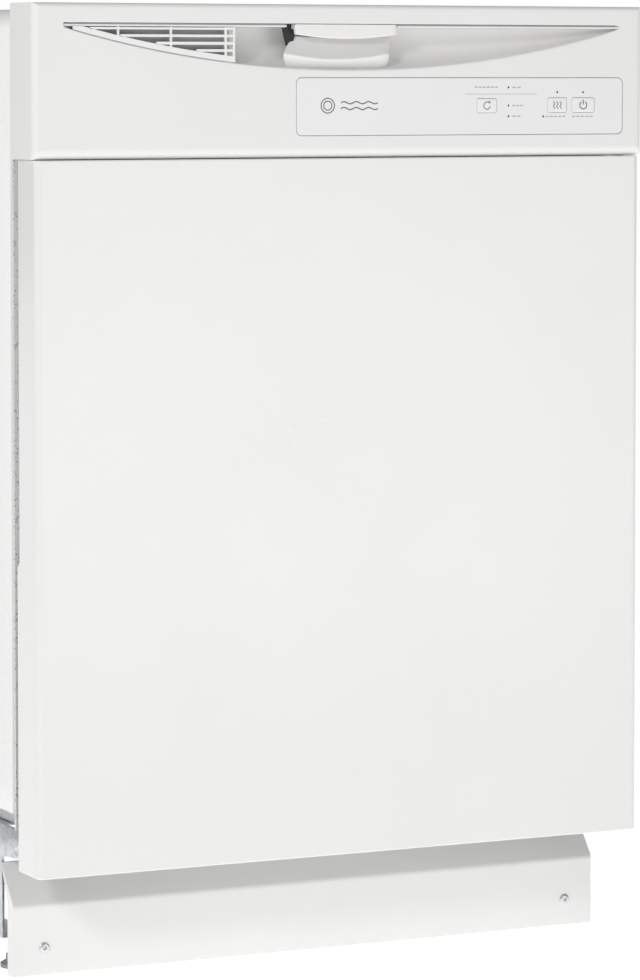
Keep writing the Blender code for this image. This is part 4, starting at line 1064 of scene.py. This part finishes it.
@dataclass
class Lever:
    """The latch's finger lever: a thin bowed lip that hangs in the pocket."""

    bow: float = 0.0039
    drop: float = 0.0008
    nose: float = 0.0012
    body: str = "latch_lever"

    def build(self) -> None:
        """Carries a closed section across the lever; its lower edge rises with the square of x."""
        (x0, front, low), (x1, back, top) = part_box("latch_lever")
        half = (x1 - x0) / 2
        share = np.sin(np.linspace(-np.pi / 2, np.pi / 2, 49))
        lower = low - self.drop + self.bow * share ** 2
        turn = arc(0, 180, 8)
        shape = [(0.0004, top - 0.0002), (0.0, top - 0.0008), (0.0, top - 0.0040)]
        depth = [d for d, _ in shape] + list(self.nose * (1 - np.cos(turn)))
        depth += [0.0034, 0.0110, 0.0115, 0.0108]
        fixed = [z for _, z in shape]
        rows = []
        for z_low, s in zip(lower, share):
            curl = z_low + self.nose - self.nose * np.sin(turn)
            height = np.array(fixed + list(curl) + [z_low + 0.0048, top - 0.0045, top - 0.0025, top - 0.0004])
            pull = 0.0016 * max(0.0, (abs(s) - 0.93) / 0.07) ** 2
            wide = np.full(len(height), s * half)
            rows.append(np.stack([wide, front + np.array(depth) + pull, height], -1))
        Mesh().solid(np.stack(rows)).build(
            "lever_lip", POLISHED_ABS, self.body, ["latch_lever"], 42.0)


@dataclass
class DoorSkin:
    """The door's enamelled sheet: a tray with rolled vertical edges and flanges above and below."""

    corner: float = 0.0060
    roll: float = 0.0014
    sheet: float = 0.0009
    flange: float = 0.0255
    lap: float = 0.0120
    side_flange: float = 0.0050
    step_height: float = 0.375
    upper_return: float = 0.0420
    body: str = "door"

    def build(self) -> None:
        """Builds the tray from a plan outline repeated at each height and drawn inwards on the rolls.

        The outline runs up one side, round a corner, across the face and back. On a roll of radius r at
        angle a the outline moves in by r times one minus cosine of a.
        """
        (_, front, low), (half, back, high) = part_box("door_outer_panel")
        turn = arc(0, 90, 6)
        curl = [(self.roll * (1 - math.cos(t)), low + self.roll * (1 - math.sin(t))) for t in turn[::-1]]
        beside_step = self.step_height + np.array([-0.002, 0.002])
        between = np.sort(np.concatenate([np.linspace(low + 0.02, high - 0.02, 9), beside_step]))
        levels = [(self.flange, low), (self.lap, low), *curl, *((0.0, float(z)) for z in between)]
        levels += [(d, high + low - z) for d, z in curl[::-1]] + [(self.lap, high), (self.flange, high)]
        rows = []
        for inset, z in levels:
            side = half - min(inset, self.side_flange)
            face = front + inset
            rear = back if z < self.step_height else front + self.upper_return
            radius = max(self.corner - min(inset, self.corner - 0.0005), 0.0005)
            cx, cy = side - radius, face + radius
            bend = arc(0, 90, 8)
            right = np.stack([cx + radius * np.cos(bend), cy - radius * np.sin(bend)], -1)
            flat = np.stack([np.linspace(cx, -cx, 12)[1:-1], np.full(10, face)], -1)
            left = right[::-1] * np.array([-1.0, 1.0])
            rear = max(rear, cy + 0.0005)
            plan = np.vstack([[side, rear], right, flat, left, [-side, rear]])
            rows.append(np.hstack([plan, np.full((len(plan), 1), z)]))
        tray = Mesh().add(np.stack(rows))
        tray.build("door_skin", WHITE_ENAMEL, self.body, ["door_outer_panel"], 30.0, self.sheet)


@dataclass
class ToeKick:
    """The folded kick plate: an upright face, a soft bend, and a slope that runs back under the door."""

    bend: float = 0.0635
    slope_back: float = 0.0300
    bend_round: float = 0.0080
    corner: float = 0.0020
    return_depth: float = 0.0150
    sheet: float = 0.0010
    body: str = "cabinet"

    def build(self) -> None:
        """Carries the folded section across, then closes its ends with returns."""
        (_, front, low), (half, back, high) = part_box("toe_kick_panel")
        slope_back = self.slope_back
        lean = math.atan2(slope_back, high - self.bend)
        turn = np.linspace(0, lean, 7)
        start = self.bend - self.bend_round * math.tan(lean / 2)
        depth = self.bend_round * (1 - np.cos(turn))
        height = start + self.bend_round * np.sin(turn)
        depth = np.concatenate([[0.0016, 0.0004, 0.0, 0.0, 0.0], depth, [slope_back, slope_back + 0.0012]])
        height = np.concatenate([[low, low + 0.0003, low + 0.0014, low + 0.02, start - 0.004], height,
                                 [high - 0.0008, high]])
        across, least = stations(half, self.corner, front, front + self.return_depth,
                                 np.linspace(-half + 0.01, half - 0.01, 40))
        wide = (len(across), 1)
        grid = carry(np.tile(front + depth, wide), np.tile(height, wide), across, least)
        Mesh().add(grid).build("kick_plate", WHITE_ENAMEL, self.body, ["toe_kick_panel"], 34.0, self.sheet)
        for side in ("left", "right"):
            self.build_screw(side)

    def build_screw(self, side: str) -> None:
        """Turns a pan-head screw about Y: a domed head with a round driver recess, and a plain shank.

        Args:
            side: left or right.
        """
        (x0, near, z0), (x1, far, z1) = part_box(f"toe_screw_{side}")
        radius, long = (x1 - x0) / 2, far - near
        profile = np.array([(0.0001, 0.0022), (0.0017, 0.0021), (0.0018, 0.0004), (0.0020, 0.0001),
                            (0.0032, 0.0001), (0.0042, 0.0005), (radius * 0.97, 0.0011), (radius, 0.0018),
                            (radius, 0.0023), (0.0020, 0.0024), (0.0019, long * 0.8), (0.0001, long)])
        mesh = Mesh().solid(lathe(profile, ((x0 + x1) / 2, near, (z0 + z1) / 2), "y", 32))
        mesh.build(f"kick_screw_{side}", ZINC_PLATE, self.body, [f"toe_screw_{side}"], 35.0)


# ---------------------------------------------------------------- cabinet


@dataclass
class Blanket:
    """The felt jacket round the tub: an arch that closes at the back, with shallow dimples."""

    corner: float = 0.018
    wall: float = 0.006
    dimple: float = 0.0012
    body: str = "cabinet"

    def build(self) -> None:
        """Carries an arch of sides, round shoulders and top to the back, then shrinks it to a close."""
        (_, front, low), (half, back, high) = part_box("insulation_blanket")
        r = self.corner
        turn = arc(0, 90, 6)
        rise = np.linspace(low, high - r, 26)[:-1]
        right = np.vstack([np.stack([np.full(25, half), rise], -1),
                           np.stack([half - r + r * np.cos(turn), high - r + r * np.sin(turn)], -1)])
        top = np.stack([np.linspace(half - r, 0, 12)[1:], np.full(11, high)], -1)
        arch = np.vstack([right, top])
        arch = np.vstack([arch, arch[-2::-1] * np.array([-1.0, 1.0])])
        foot = np.array([0.0, low])
        rows = [upright(arch, y) for y in np.linspace(front, back - r, 26)]
        for t in arc(0, 90, 5)[1:]:
            share = 1 - r * (1 - math.cos(t)) / half
            rows.append(upright(foot + (arch - foot) * share, back - r + r * math.sin(t)))
        for share in np.linspace(0.92, 0.02, 14):
            rows.append(upright(foot + (arch - foot) * share, back))
        grid = np.stack(rows)
        hollow = self.dimple * (np.sin(grid[..., 0] * 61) * np.sin(grid[..., 1] * 57 + 1)
                                * np.sin(grid[..., 2] * 49 + 2)) ** 2
        middle = np.array([0.0, 0.0, 0.45])
        aim = middle - grid
        grid = grid + aim / np.linalg.norm(aim, axis=-1, keepdims=True) * hollow[..., None]
        piece = Mesh().add(grid).build(
            "felt_jacket", WHITE_FELT, self.body, ["insulation_blanket"], 60.0, self.wall)


@dataclass
class Spring:
    """A close-wound extension spring between the pull link and the rear rail."""

    radius: float = 0.0058
    wire: float = 0.0009
    turns: int = 46

    def build(self, side: str) -> None:
        """Winds a helix along Y, fixed in the model's frame and hung on no body.

        Args:
            side: left or right.
        """
        (x0, y0, z0), (x1, y1, z1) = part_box(f"door_spring_{side}")
        cx, cz = (x0 + x1) / 2, (z0 + z1) / 2
        turn = np.linspace(0, 2 * np.pi * self.turns, self.turns * 12 + 1)
        y = np.linspace(y0 + 0.003, y1 - 0.003, len(turn))
        path = np.stack([cx + self.radius * np.cos(turn), y, cz + self.radius * np.sin(turn)], -1)
        piece = Mesh().solid(tube(path, self.wire, 6)).build(
            f"coil_spring_{side}", SPRING_WIRE, None, [f"door_spring_{side}"], 80.0)
        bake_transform(piece)


# ---------------------------------------------------------------- racks


@dataclass
class WireRack:
    """A rack of welded round wire, dipped in nylon."""

    node: str
    tine: float
    tine_rows: int
    wire: float = 0.0016
    rim: float = 0.0024
    bend: float = 0.012
    pitch: float = 0.027

    def hoop(self, low: float, high: float, floor: float, top: float) -> Array:
        """A wire's path in its own plane: down one wall, round a bend, along the floor and up again.

        Args:
            low: Place of the first wall.
            high: Place of the second wall.
            floor: Height of the floor.
            top: Height where both walls end.

        Returns:
            Points, count by two.
        """
        turn = arc(0, 90, 5)
        r = self.bend
        first = np.stack([low + r - r * np.cos(turn), floor + r - r * np.sin(turn)], -1)
        second = np.stack([high - r + r * np.sin(turn), floor + r - r * np.cos(turn)], -1)
        return np.vstack([[low, top], first, second, [high, top]])

    def build(self) -> None:
        """Lays the hoops both ways, three rims round them, and rows of tines on the floor."""
        (x0, y0, z0), (x1, y1, z1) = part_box(self.node)
        r = self.rim
        x0, y0, x1, y1, floor, top = x0 + r, y0 + r, x1 - r, y1 - r, z0 + self.wire, z1 - r
        mesh = Mesh()
        for y in np.linspace(y0 + 0.015, y1 - 0.015, round((y1 - y0) / self.pitch)):
            flat = self.hoop(x0, x1, floor, top)
            mesh.solid(tube(upright(flat, y), self.wire))
        for x in np.linspace(x0 + 0.015, x1 - 0.015, round((x1 - x0) / self.pitch)):
            flat = self.hoop(y0, y1, floor + 2 * self.wire - 0.0006, top)
            path = np.stack([np.full(len(flat), x), flat[:, 0], flat[:, 1]], -1)
            mesh.solid(tube(path, self.wire))
        for z, thick in ((top, self.rim), ((top + floor) / 2, self.wire), (floor + self.bend, self.wire)):
            loop = rounded_rectangle(x0, x1, y0, y1, 0.014, 5)
            loop = np.vstack([loop, loop[:1]])
            path = np.column_stack([loop, np.full(len(loop), z)])
            mesh.solid(tube(path, thick))
        self.add_tines(mesh, x0, x1, y0, y1, floor)
        mesh.build(f"{self.node}_wires", RACK_NYLON, self.node, [self.node], 60.0)

    def add_tines(self, mesh: Mesh, x0: float, x1: float, y0: float, y1: float, floor: float) -> None:
        """Rows of upright pegs with round tops, a little tilted, each row on its own carrier wire.

        Args:
            mesh: The mesh that takes the pegs.
            x0: Left side of the rack.
            x1: Right side.
            y0: Front side.
            y1: Rear side.
            floor: Height of the floor wires.
        """
        right = x1 - 0.105 if self.node == "lower_rack" else x1 - 0.03
        turn = arc(0, 80, 3)
        for y in np.linspace(y0 + 0.06, y1 - 0.05, self.tine_rows):
            carrier = line((x0 + 0.01, y, floor + 0.0035), (right + 0.01, y, floor + 0.0035), 3)
            mesh.solid(tube(carrier, self.wire))
            for x in np.arange(x0 + 0.03, right, 0.031):
                peg = line((x, y, floor + 0.002), (x, y + 0.006, floor + self.tine), 4)
                cap = np.stack([np.full(3, x), np.full(3, y + 0.006),
                                floor + self.tine + 0.0013 * np.sin(turn[1:])], -1)
                ring = tube(np.vstack([peg, cap]), 0.0014, 6)
                ring[-3:] = ring[-3:].mean(axis=1, keepdims=True) + (
                    ring[-3:] - ring[-3:].mean(axis=1, keepdims=True)) * np.cos(turn[1:])[:, None, None]
                mesh.solid(ring)


@dataclass
class RackWheels:
    """The lower rack's four rollers and the wire forks that hold their axles."""

    hub: float = 0.0040
    wire: float = 0.0016

    def build(self) -> None:
        """Turns each roller about X, and bends a fork of wire down to its axle."""
        forks = Mesh()
        (rack_left, _, floor), (rack_right, _, _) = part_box("lower_rack")
        for end in ("front", "rear"):
            for side in ("left", "right"):
                node = f"rack_wheel_{end}_{side}"
                low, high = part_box(node)
                centre = tuple((a + b) / 2 for a, b in zip(low, high))
                radius, half = (high[2] - low[2]) / 2, (high[0] - low[0]) / 2
                profile = through([(0.0001, -half), (self.hub, -half), (self.hub + 0.0008, -half * 0.55),
                                   (radius * 0.72, -half * 0.45), (radius * 0.84, -half * 0.95),
                                   (radius * 0.97, -half * 0.7), (radius, 0.0), (radius * 0.97, half * 0.7),
                                   (radius * 0.84, half * 0.95), (radius * 0.72, half * 0.45),
                                   (self.hub + 0.0008, half * 0.55), (self.hub, half), (0.0001, half)], 3)
                Mesh().solid(lathe(profile, centre, "x", 40)).build(
                    f"{node}_roller", GREY_PP, node, [node], 50.0)
                inner = (rack_right if side == "right" else rack_left)
                sign = 1.0 if side == "right" else -1.0
                x, y, z = inner - sign * 0.0016, centre[1], centre[2]
                path = through([(x - sign * 0.001, y - 0.024, floor + 0.003), (x, y - 0.014, floor - 0.012),
                                (x + sign * 0.0012, y - 0.004, z + 0.001),
                                (x + sign * 0.0012, y + 0.004, z + 0.001),
                                (x, y + 0.014, floor - 0.012), (x - sign * 0.001, y + 0.024, floor + 0.003)],
                               5)
                forks.solid(tube(path, self.wire))
                axle = line((x, y, z), (centre[0] + sign * 0.0063, y, z), 3)
                forks.solid(tube(axle, 0.0030, 12))
        forks.build("wheel_forks", RACK_NYLON, "lower_rack", (), 60.0)


@dataclass
class SilverwareBasket:
    """The cutlery basket: moulded lattice walls round three cells, with a solid rim."""

    cell: float = 0.0085
    bar: float = 0.0022
    body: str = "lower_rack"

    def build(self) -> None:
        """Lays each wall as a lattice whose lines become bars, then adds the rims."""
        low, high = (np.array(v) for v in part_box("silverware_basket"))
        inset = self.bar / 2
        x0, y0, z0 = low + inset
        x1, y1, z1 = high - inset
        mesh = Mesh()

        def lattice(corner: Point, first: Point, second: Point) -> None:
            """Lays a wall from a corner along two sides: corner plus u times first plus v times second."""
            a, b = np.array(first), np.array(second)
            rows = max(2, round(float(np.linalg.norm(a)) / self.cell) + 1)
            columns = max(2, round(float(np.linalg.norm(b)) / self.cell) + 1)
            u, v = np.meshgrid(np.linspace(0, 1, rows), np.linspace(0, 1, columns), indexing="ij")
            mesh.add(np.array(corner) + u[..., None] * a + v[..., None] * b)

        wide, deep, tall = (x1 - x0, 0, 0), (0, y1 - y0, 0), (0, 0, z1 - z0)
        lattice((x0, y0, z0), wide, deep)
        for x in (x0, x1):
            lattice((x, y0, z0), deep, tall)
        for y in np.linspace(y0, y1, 4):
            lattice((x0, float(y), z0), wide, tall)
        piece = mesh.build("cutlery_lattice", GREY_PP, self.body, ["silverware_basket"], 30.0, merge=1e-5)
        bars = piece.modifiers.new("bars", "WIREFRAME")
        bars.thickness = self.bar
        bars.use_even_offset = False
        rim = Mesh()
        loop = rounded_rectangle(x0, x1, y0, y1, 0.006, 5)
        loop = np.vstack([loop, loop[:1]])
        for z in (z0 + 0.001, z1 - 0.001):
            rim.solid(tube(np.column_stack([loop, np.full(len(loop), z)]), 0.0022))
        rim.build("cutlery_rims", GREY_PP, self.body, (), 50.0)


@dataclass
class SprayArm:
    """A spray arm: two blades of oval section that taper to their tips, and a hub between them."""

    node: str

    def build(self) -> None:
        """Lofts ovals from tip to tip; their width and height fall off towards the tips."""
        (x0, y0, z0), (x1, y1, z1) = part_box(self.node)
        middle = np.array([(x0 + x1) / 2, (y0 + y1) / 2, (z0 + z1) / 2])
        reach, hub, tall = (x1 - x0) / 2, (y1 - y0) / 2, z1 - z0
        s = np.sin(np.linspace(-np.pi / 2, np.pi / 2, 61))
        wide = (0.0125 + 0.0085 * np.exp(-(s / 0.34) ** 2)) * np.sqrt(np.clip(1 - np.abs(s) ** 9, 0.0004, 1))
        high = (0.0046 + 0.0022 * np.exp(-(s / 0.3) ** 2)) * np.sqrt(np.clip(1 - np.abs(s) ** 12, 0.0004, 1))
        turn = np.linspace(0, 2 * np.pi, 24, endpoint=False)
        sweep = 0.0035 * np.sin(s * np.pi)
        y = sweep[:, None] + wide[:, None] * np.cos(turn)
        z = high[:, None] * np.sin(turn)
        x = np.broadcast_to((s * reach)[:, None], y.shape)
        mesh = Mesh().solid(np.stack([x, y, z], -1) + middle)
        profile = through([(0.0001, -tall / 2), (hub * 0.8, -tall / 2), (hub * 0.86, -tall * 0.3),
                           (hub * 0.98, 0.0), (hub * 0.9, tall * 0.3), (hub * 0.6, tall * 0.47),
                           (0.0001, tall / 2)], 4)
        mesh.solid(lathe(profile, tuple(middle), "z", 36))
        for side in (-1, 1):
            for share in (0.32, 0.5, 0.68, 0.86):
                bow = 0.0035 * math.sin(side * share * math.pi)
                spot = middle + np.array([side * share * reach, bow, 0.0052])
                ring = through([(0.0008, 0.0006), (0.0022, 0.0010), (0.0032, 0.0004), (0.0038, -0.0015),
                                (0.0008, -0.0018)], 3)
                mesh.solid(lathe(ring, tuple(spot), "z", 16))
        mesh.build(f"{self.node}_blade", GREY_PP, self.node, [self.node], 45.0)


# ---------------------------------------------------------------- dressing and studio


@dataclass
class Dresser:
    """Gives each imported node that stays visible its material, softened edges and smooth rounds."""

    edge: float = 0.0004

    def build(self) -> None:
        """Dresses every node that has a finish of its own."""
        for name, finish in NODE_FINISH.items():
            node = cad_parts[name]
            node.data.materials.clear()
            node.data.materials.append(finish.build())
            self.soften(node)
            LOG.info("%s: dressed as %s", name, finish.name)

    def soften(self, node: bpy.types.Object) -> None:
        """Joins a node's loose triangles and rounds its sharp edges a little.

        Args:
            node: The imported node, whose mesh itself stays as it is.
        """
        for polygon in node.data.polygons:
            polygon.use_smooth = True
        weld = node.modifiers.new("weld", "WELD")
        weld.merge_threshold = 0.000005
        bevel = node.modifiers.new("edge", "BEVEL")
        bevel.width = self.edge
        bevel.segments = 2
        bevel.limit_method = "ANGLE"
        bevel.angle_limit = math.radians(38)
        bevel.use_clamp_overlap = True
        bevel.harden_normals = True


@dataclass
class Studio:
    """A pale floor that glows a little, soft light from above and the left, and the camera."""

    floor_colour: str = "#FAFAFA"
    sky: float = 0.28
    glow: float = 0.74
    focal: float = 156.706
    eye: Point = (-1.6594, -3.77547, 0.80341)
    turn: float = -25.4182
    tilt: float = 86.918
    shift: tuple[float, float] = (-0.012, -0.185)

    def build(self) -> None:
        """Sets up the view transform, the world, the lights, the floor and the camera."""
        scene = bpy.context.scene
        scene.view_settings.view_transform = "Standard"
        world = bpy.data.worlds.new("studio")
        world.use_nodes = True
        tree = world.node_tree
        seen = add_node(tree, "ShaderNodeLightPath").outputs["Is Camera Ray"]
        strength = add_node(tree, "ShaderNodeMapRange", {"To Min": self.sky, "To Max": 1.0}, {"Value": seen})
        sky = tree.nodes["Background"]
        sky.inputs["Color"].default_value = (1.0, 1.0, 1.0, 1.0)
        tree.links.new(strength.outputs["Result"], sky.inputs["Strength"])
        scene.world = world
        self.lamp("key", (-2.6, -2.1, 1.9), (0.0, -0.3, 0.55), 0.5, 26.0)
        self.lamp("low_fill", (0.9, -2.4, 0.30), (0.0, -0.3, 0.1), 1.2, 5.5)
        self.lamp("top", (0.0, -0.9, 3.0), (0.0, -0.1, 0.3), 1.6, 4.0)
        self.floor()
        self.camera()

    def lamp(self, name: str, place: Point, aim: Point, size: float, power: float) -> None:
        """Adds a square area lamp that faces a point.

        Args:
            name: The lamp's name.
            place: Where it hangs.
            aim: The point it faces.
            size: Its side.
            power: Its power in watts.
        """
        light = bpy.data.lights.new(name, "AREA")
        light.size = size
        light.energy = power
        lamp = bpy.data.objects.new(name, light)
        bpy.context.scene.collection.objects.link(lamp)
        lamp.location = place
        direction = np.array(aim) - np.array(place)
        flat = math.hypot(direction[0], direction[1])
        lamp.rotation_euler = (math.atan2(flat, -direction[2]), 0.0, math.atan2(-direction[0], direction[1]))

    def floor(self) -> None:
        """A wide level sheet of plain pale matt paint."""
        data = bpy.data.meshes.new("floor")
        reach = 12.0
        data.from_pydata([(-reach, -reach, 0), (reach, -reach, 0), (reach, reach, 0), (-reach, reach, 0)], [],
                         [(0, 1, 2, 3)])
        paint = Finish("matt_floor_paint", self.floor_colour, "#F8F8F8", 0.9, Pattern.PLAIN).build()
        shader = next(node for node in paint.node_tree.nodes if node.type == "BSDF_PRINCIPLED")
        shader.inputs["Emission Color"].default_value = (1.0, 1.0, 1.0, 1.0)
        shader.inputs["Emission Strength"].default_value = self.glow
        data.materials.append(paint)
        floor = bpy.data.objects.new("floor", data)
        bpy.context.scene.collection.objects.link(floor)

    def camera(self) -> None:
        """The camera, level with the console and to the left of the door."""
        lens = bpy.data.cameras.new("camera")
        lens.lens = self.focal
        lens.sensor_width = 36.0
        lens.shift_x, lens.shift_y = self.shift
        eye = bpy.data.objects.new("camera", lens)
        bpy.context.scene.collection.objects.link(eye)
        eye.location = self.eye
        eye.rotation_euler = (math.radians(self.tilt), 0.0, math.radians(self.turn))
        bpy.context.scene.camera = eye


def main() -> None:
    """Builds every piece in order, outside first."""
    logging.basicConfig(level=logging.INFO, format="%(name)s: %(message)s")
    Studio().build()
    Console().build()
    Lever().build()
    DoorSkin().build()
    ToeKick().build()
    Blanket().build()
    for side in ("left", "right"):
        Spring().build(side)
    WireRack("lower_rack", tine=0.060, tine_rows=5).build()
    WireRack("upper_rack", tine=0.040, tine_rows=3).build()
    RackWheels().build()
    SilverwareBasket().build()
    SprayArm("lower_spray_arm").build()
    SprayArm("upper_spray_arm").build()
    Dresser().build()


if __name__ == "__main__":
    main()
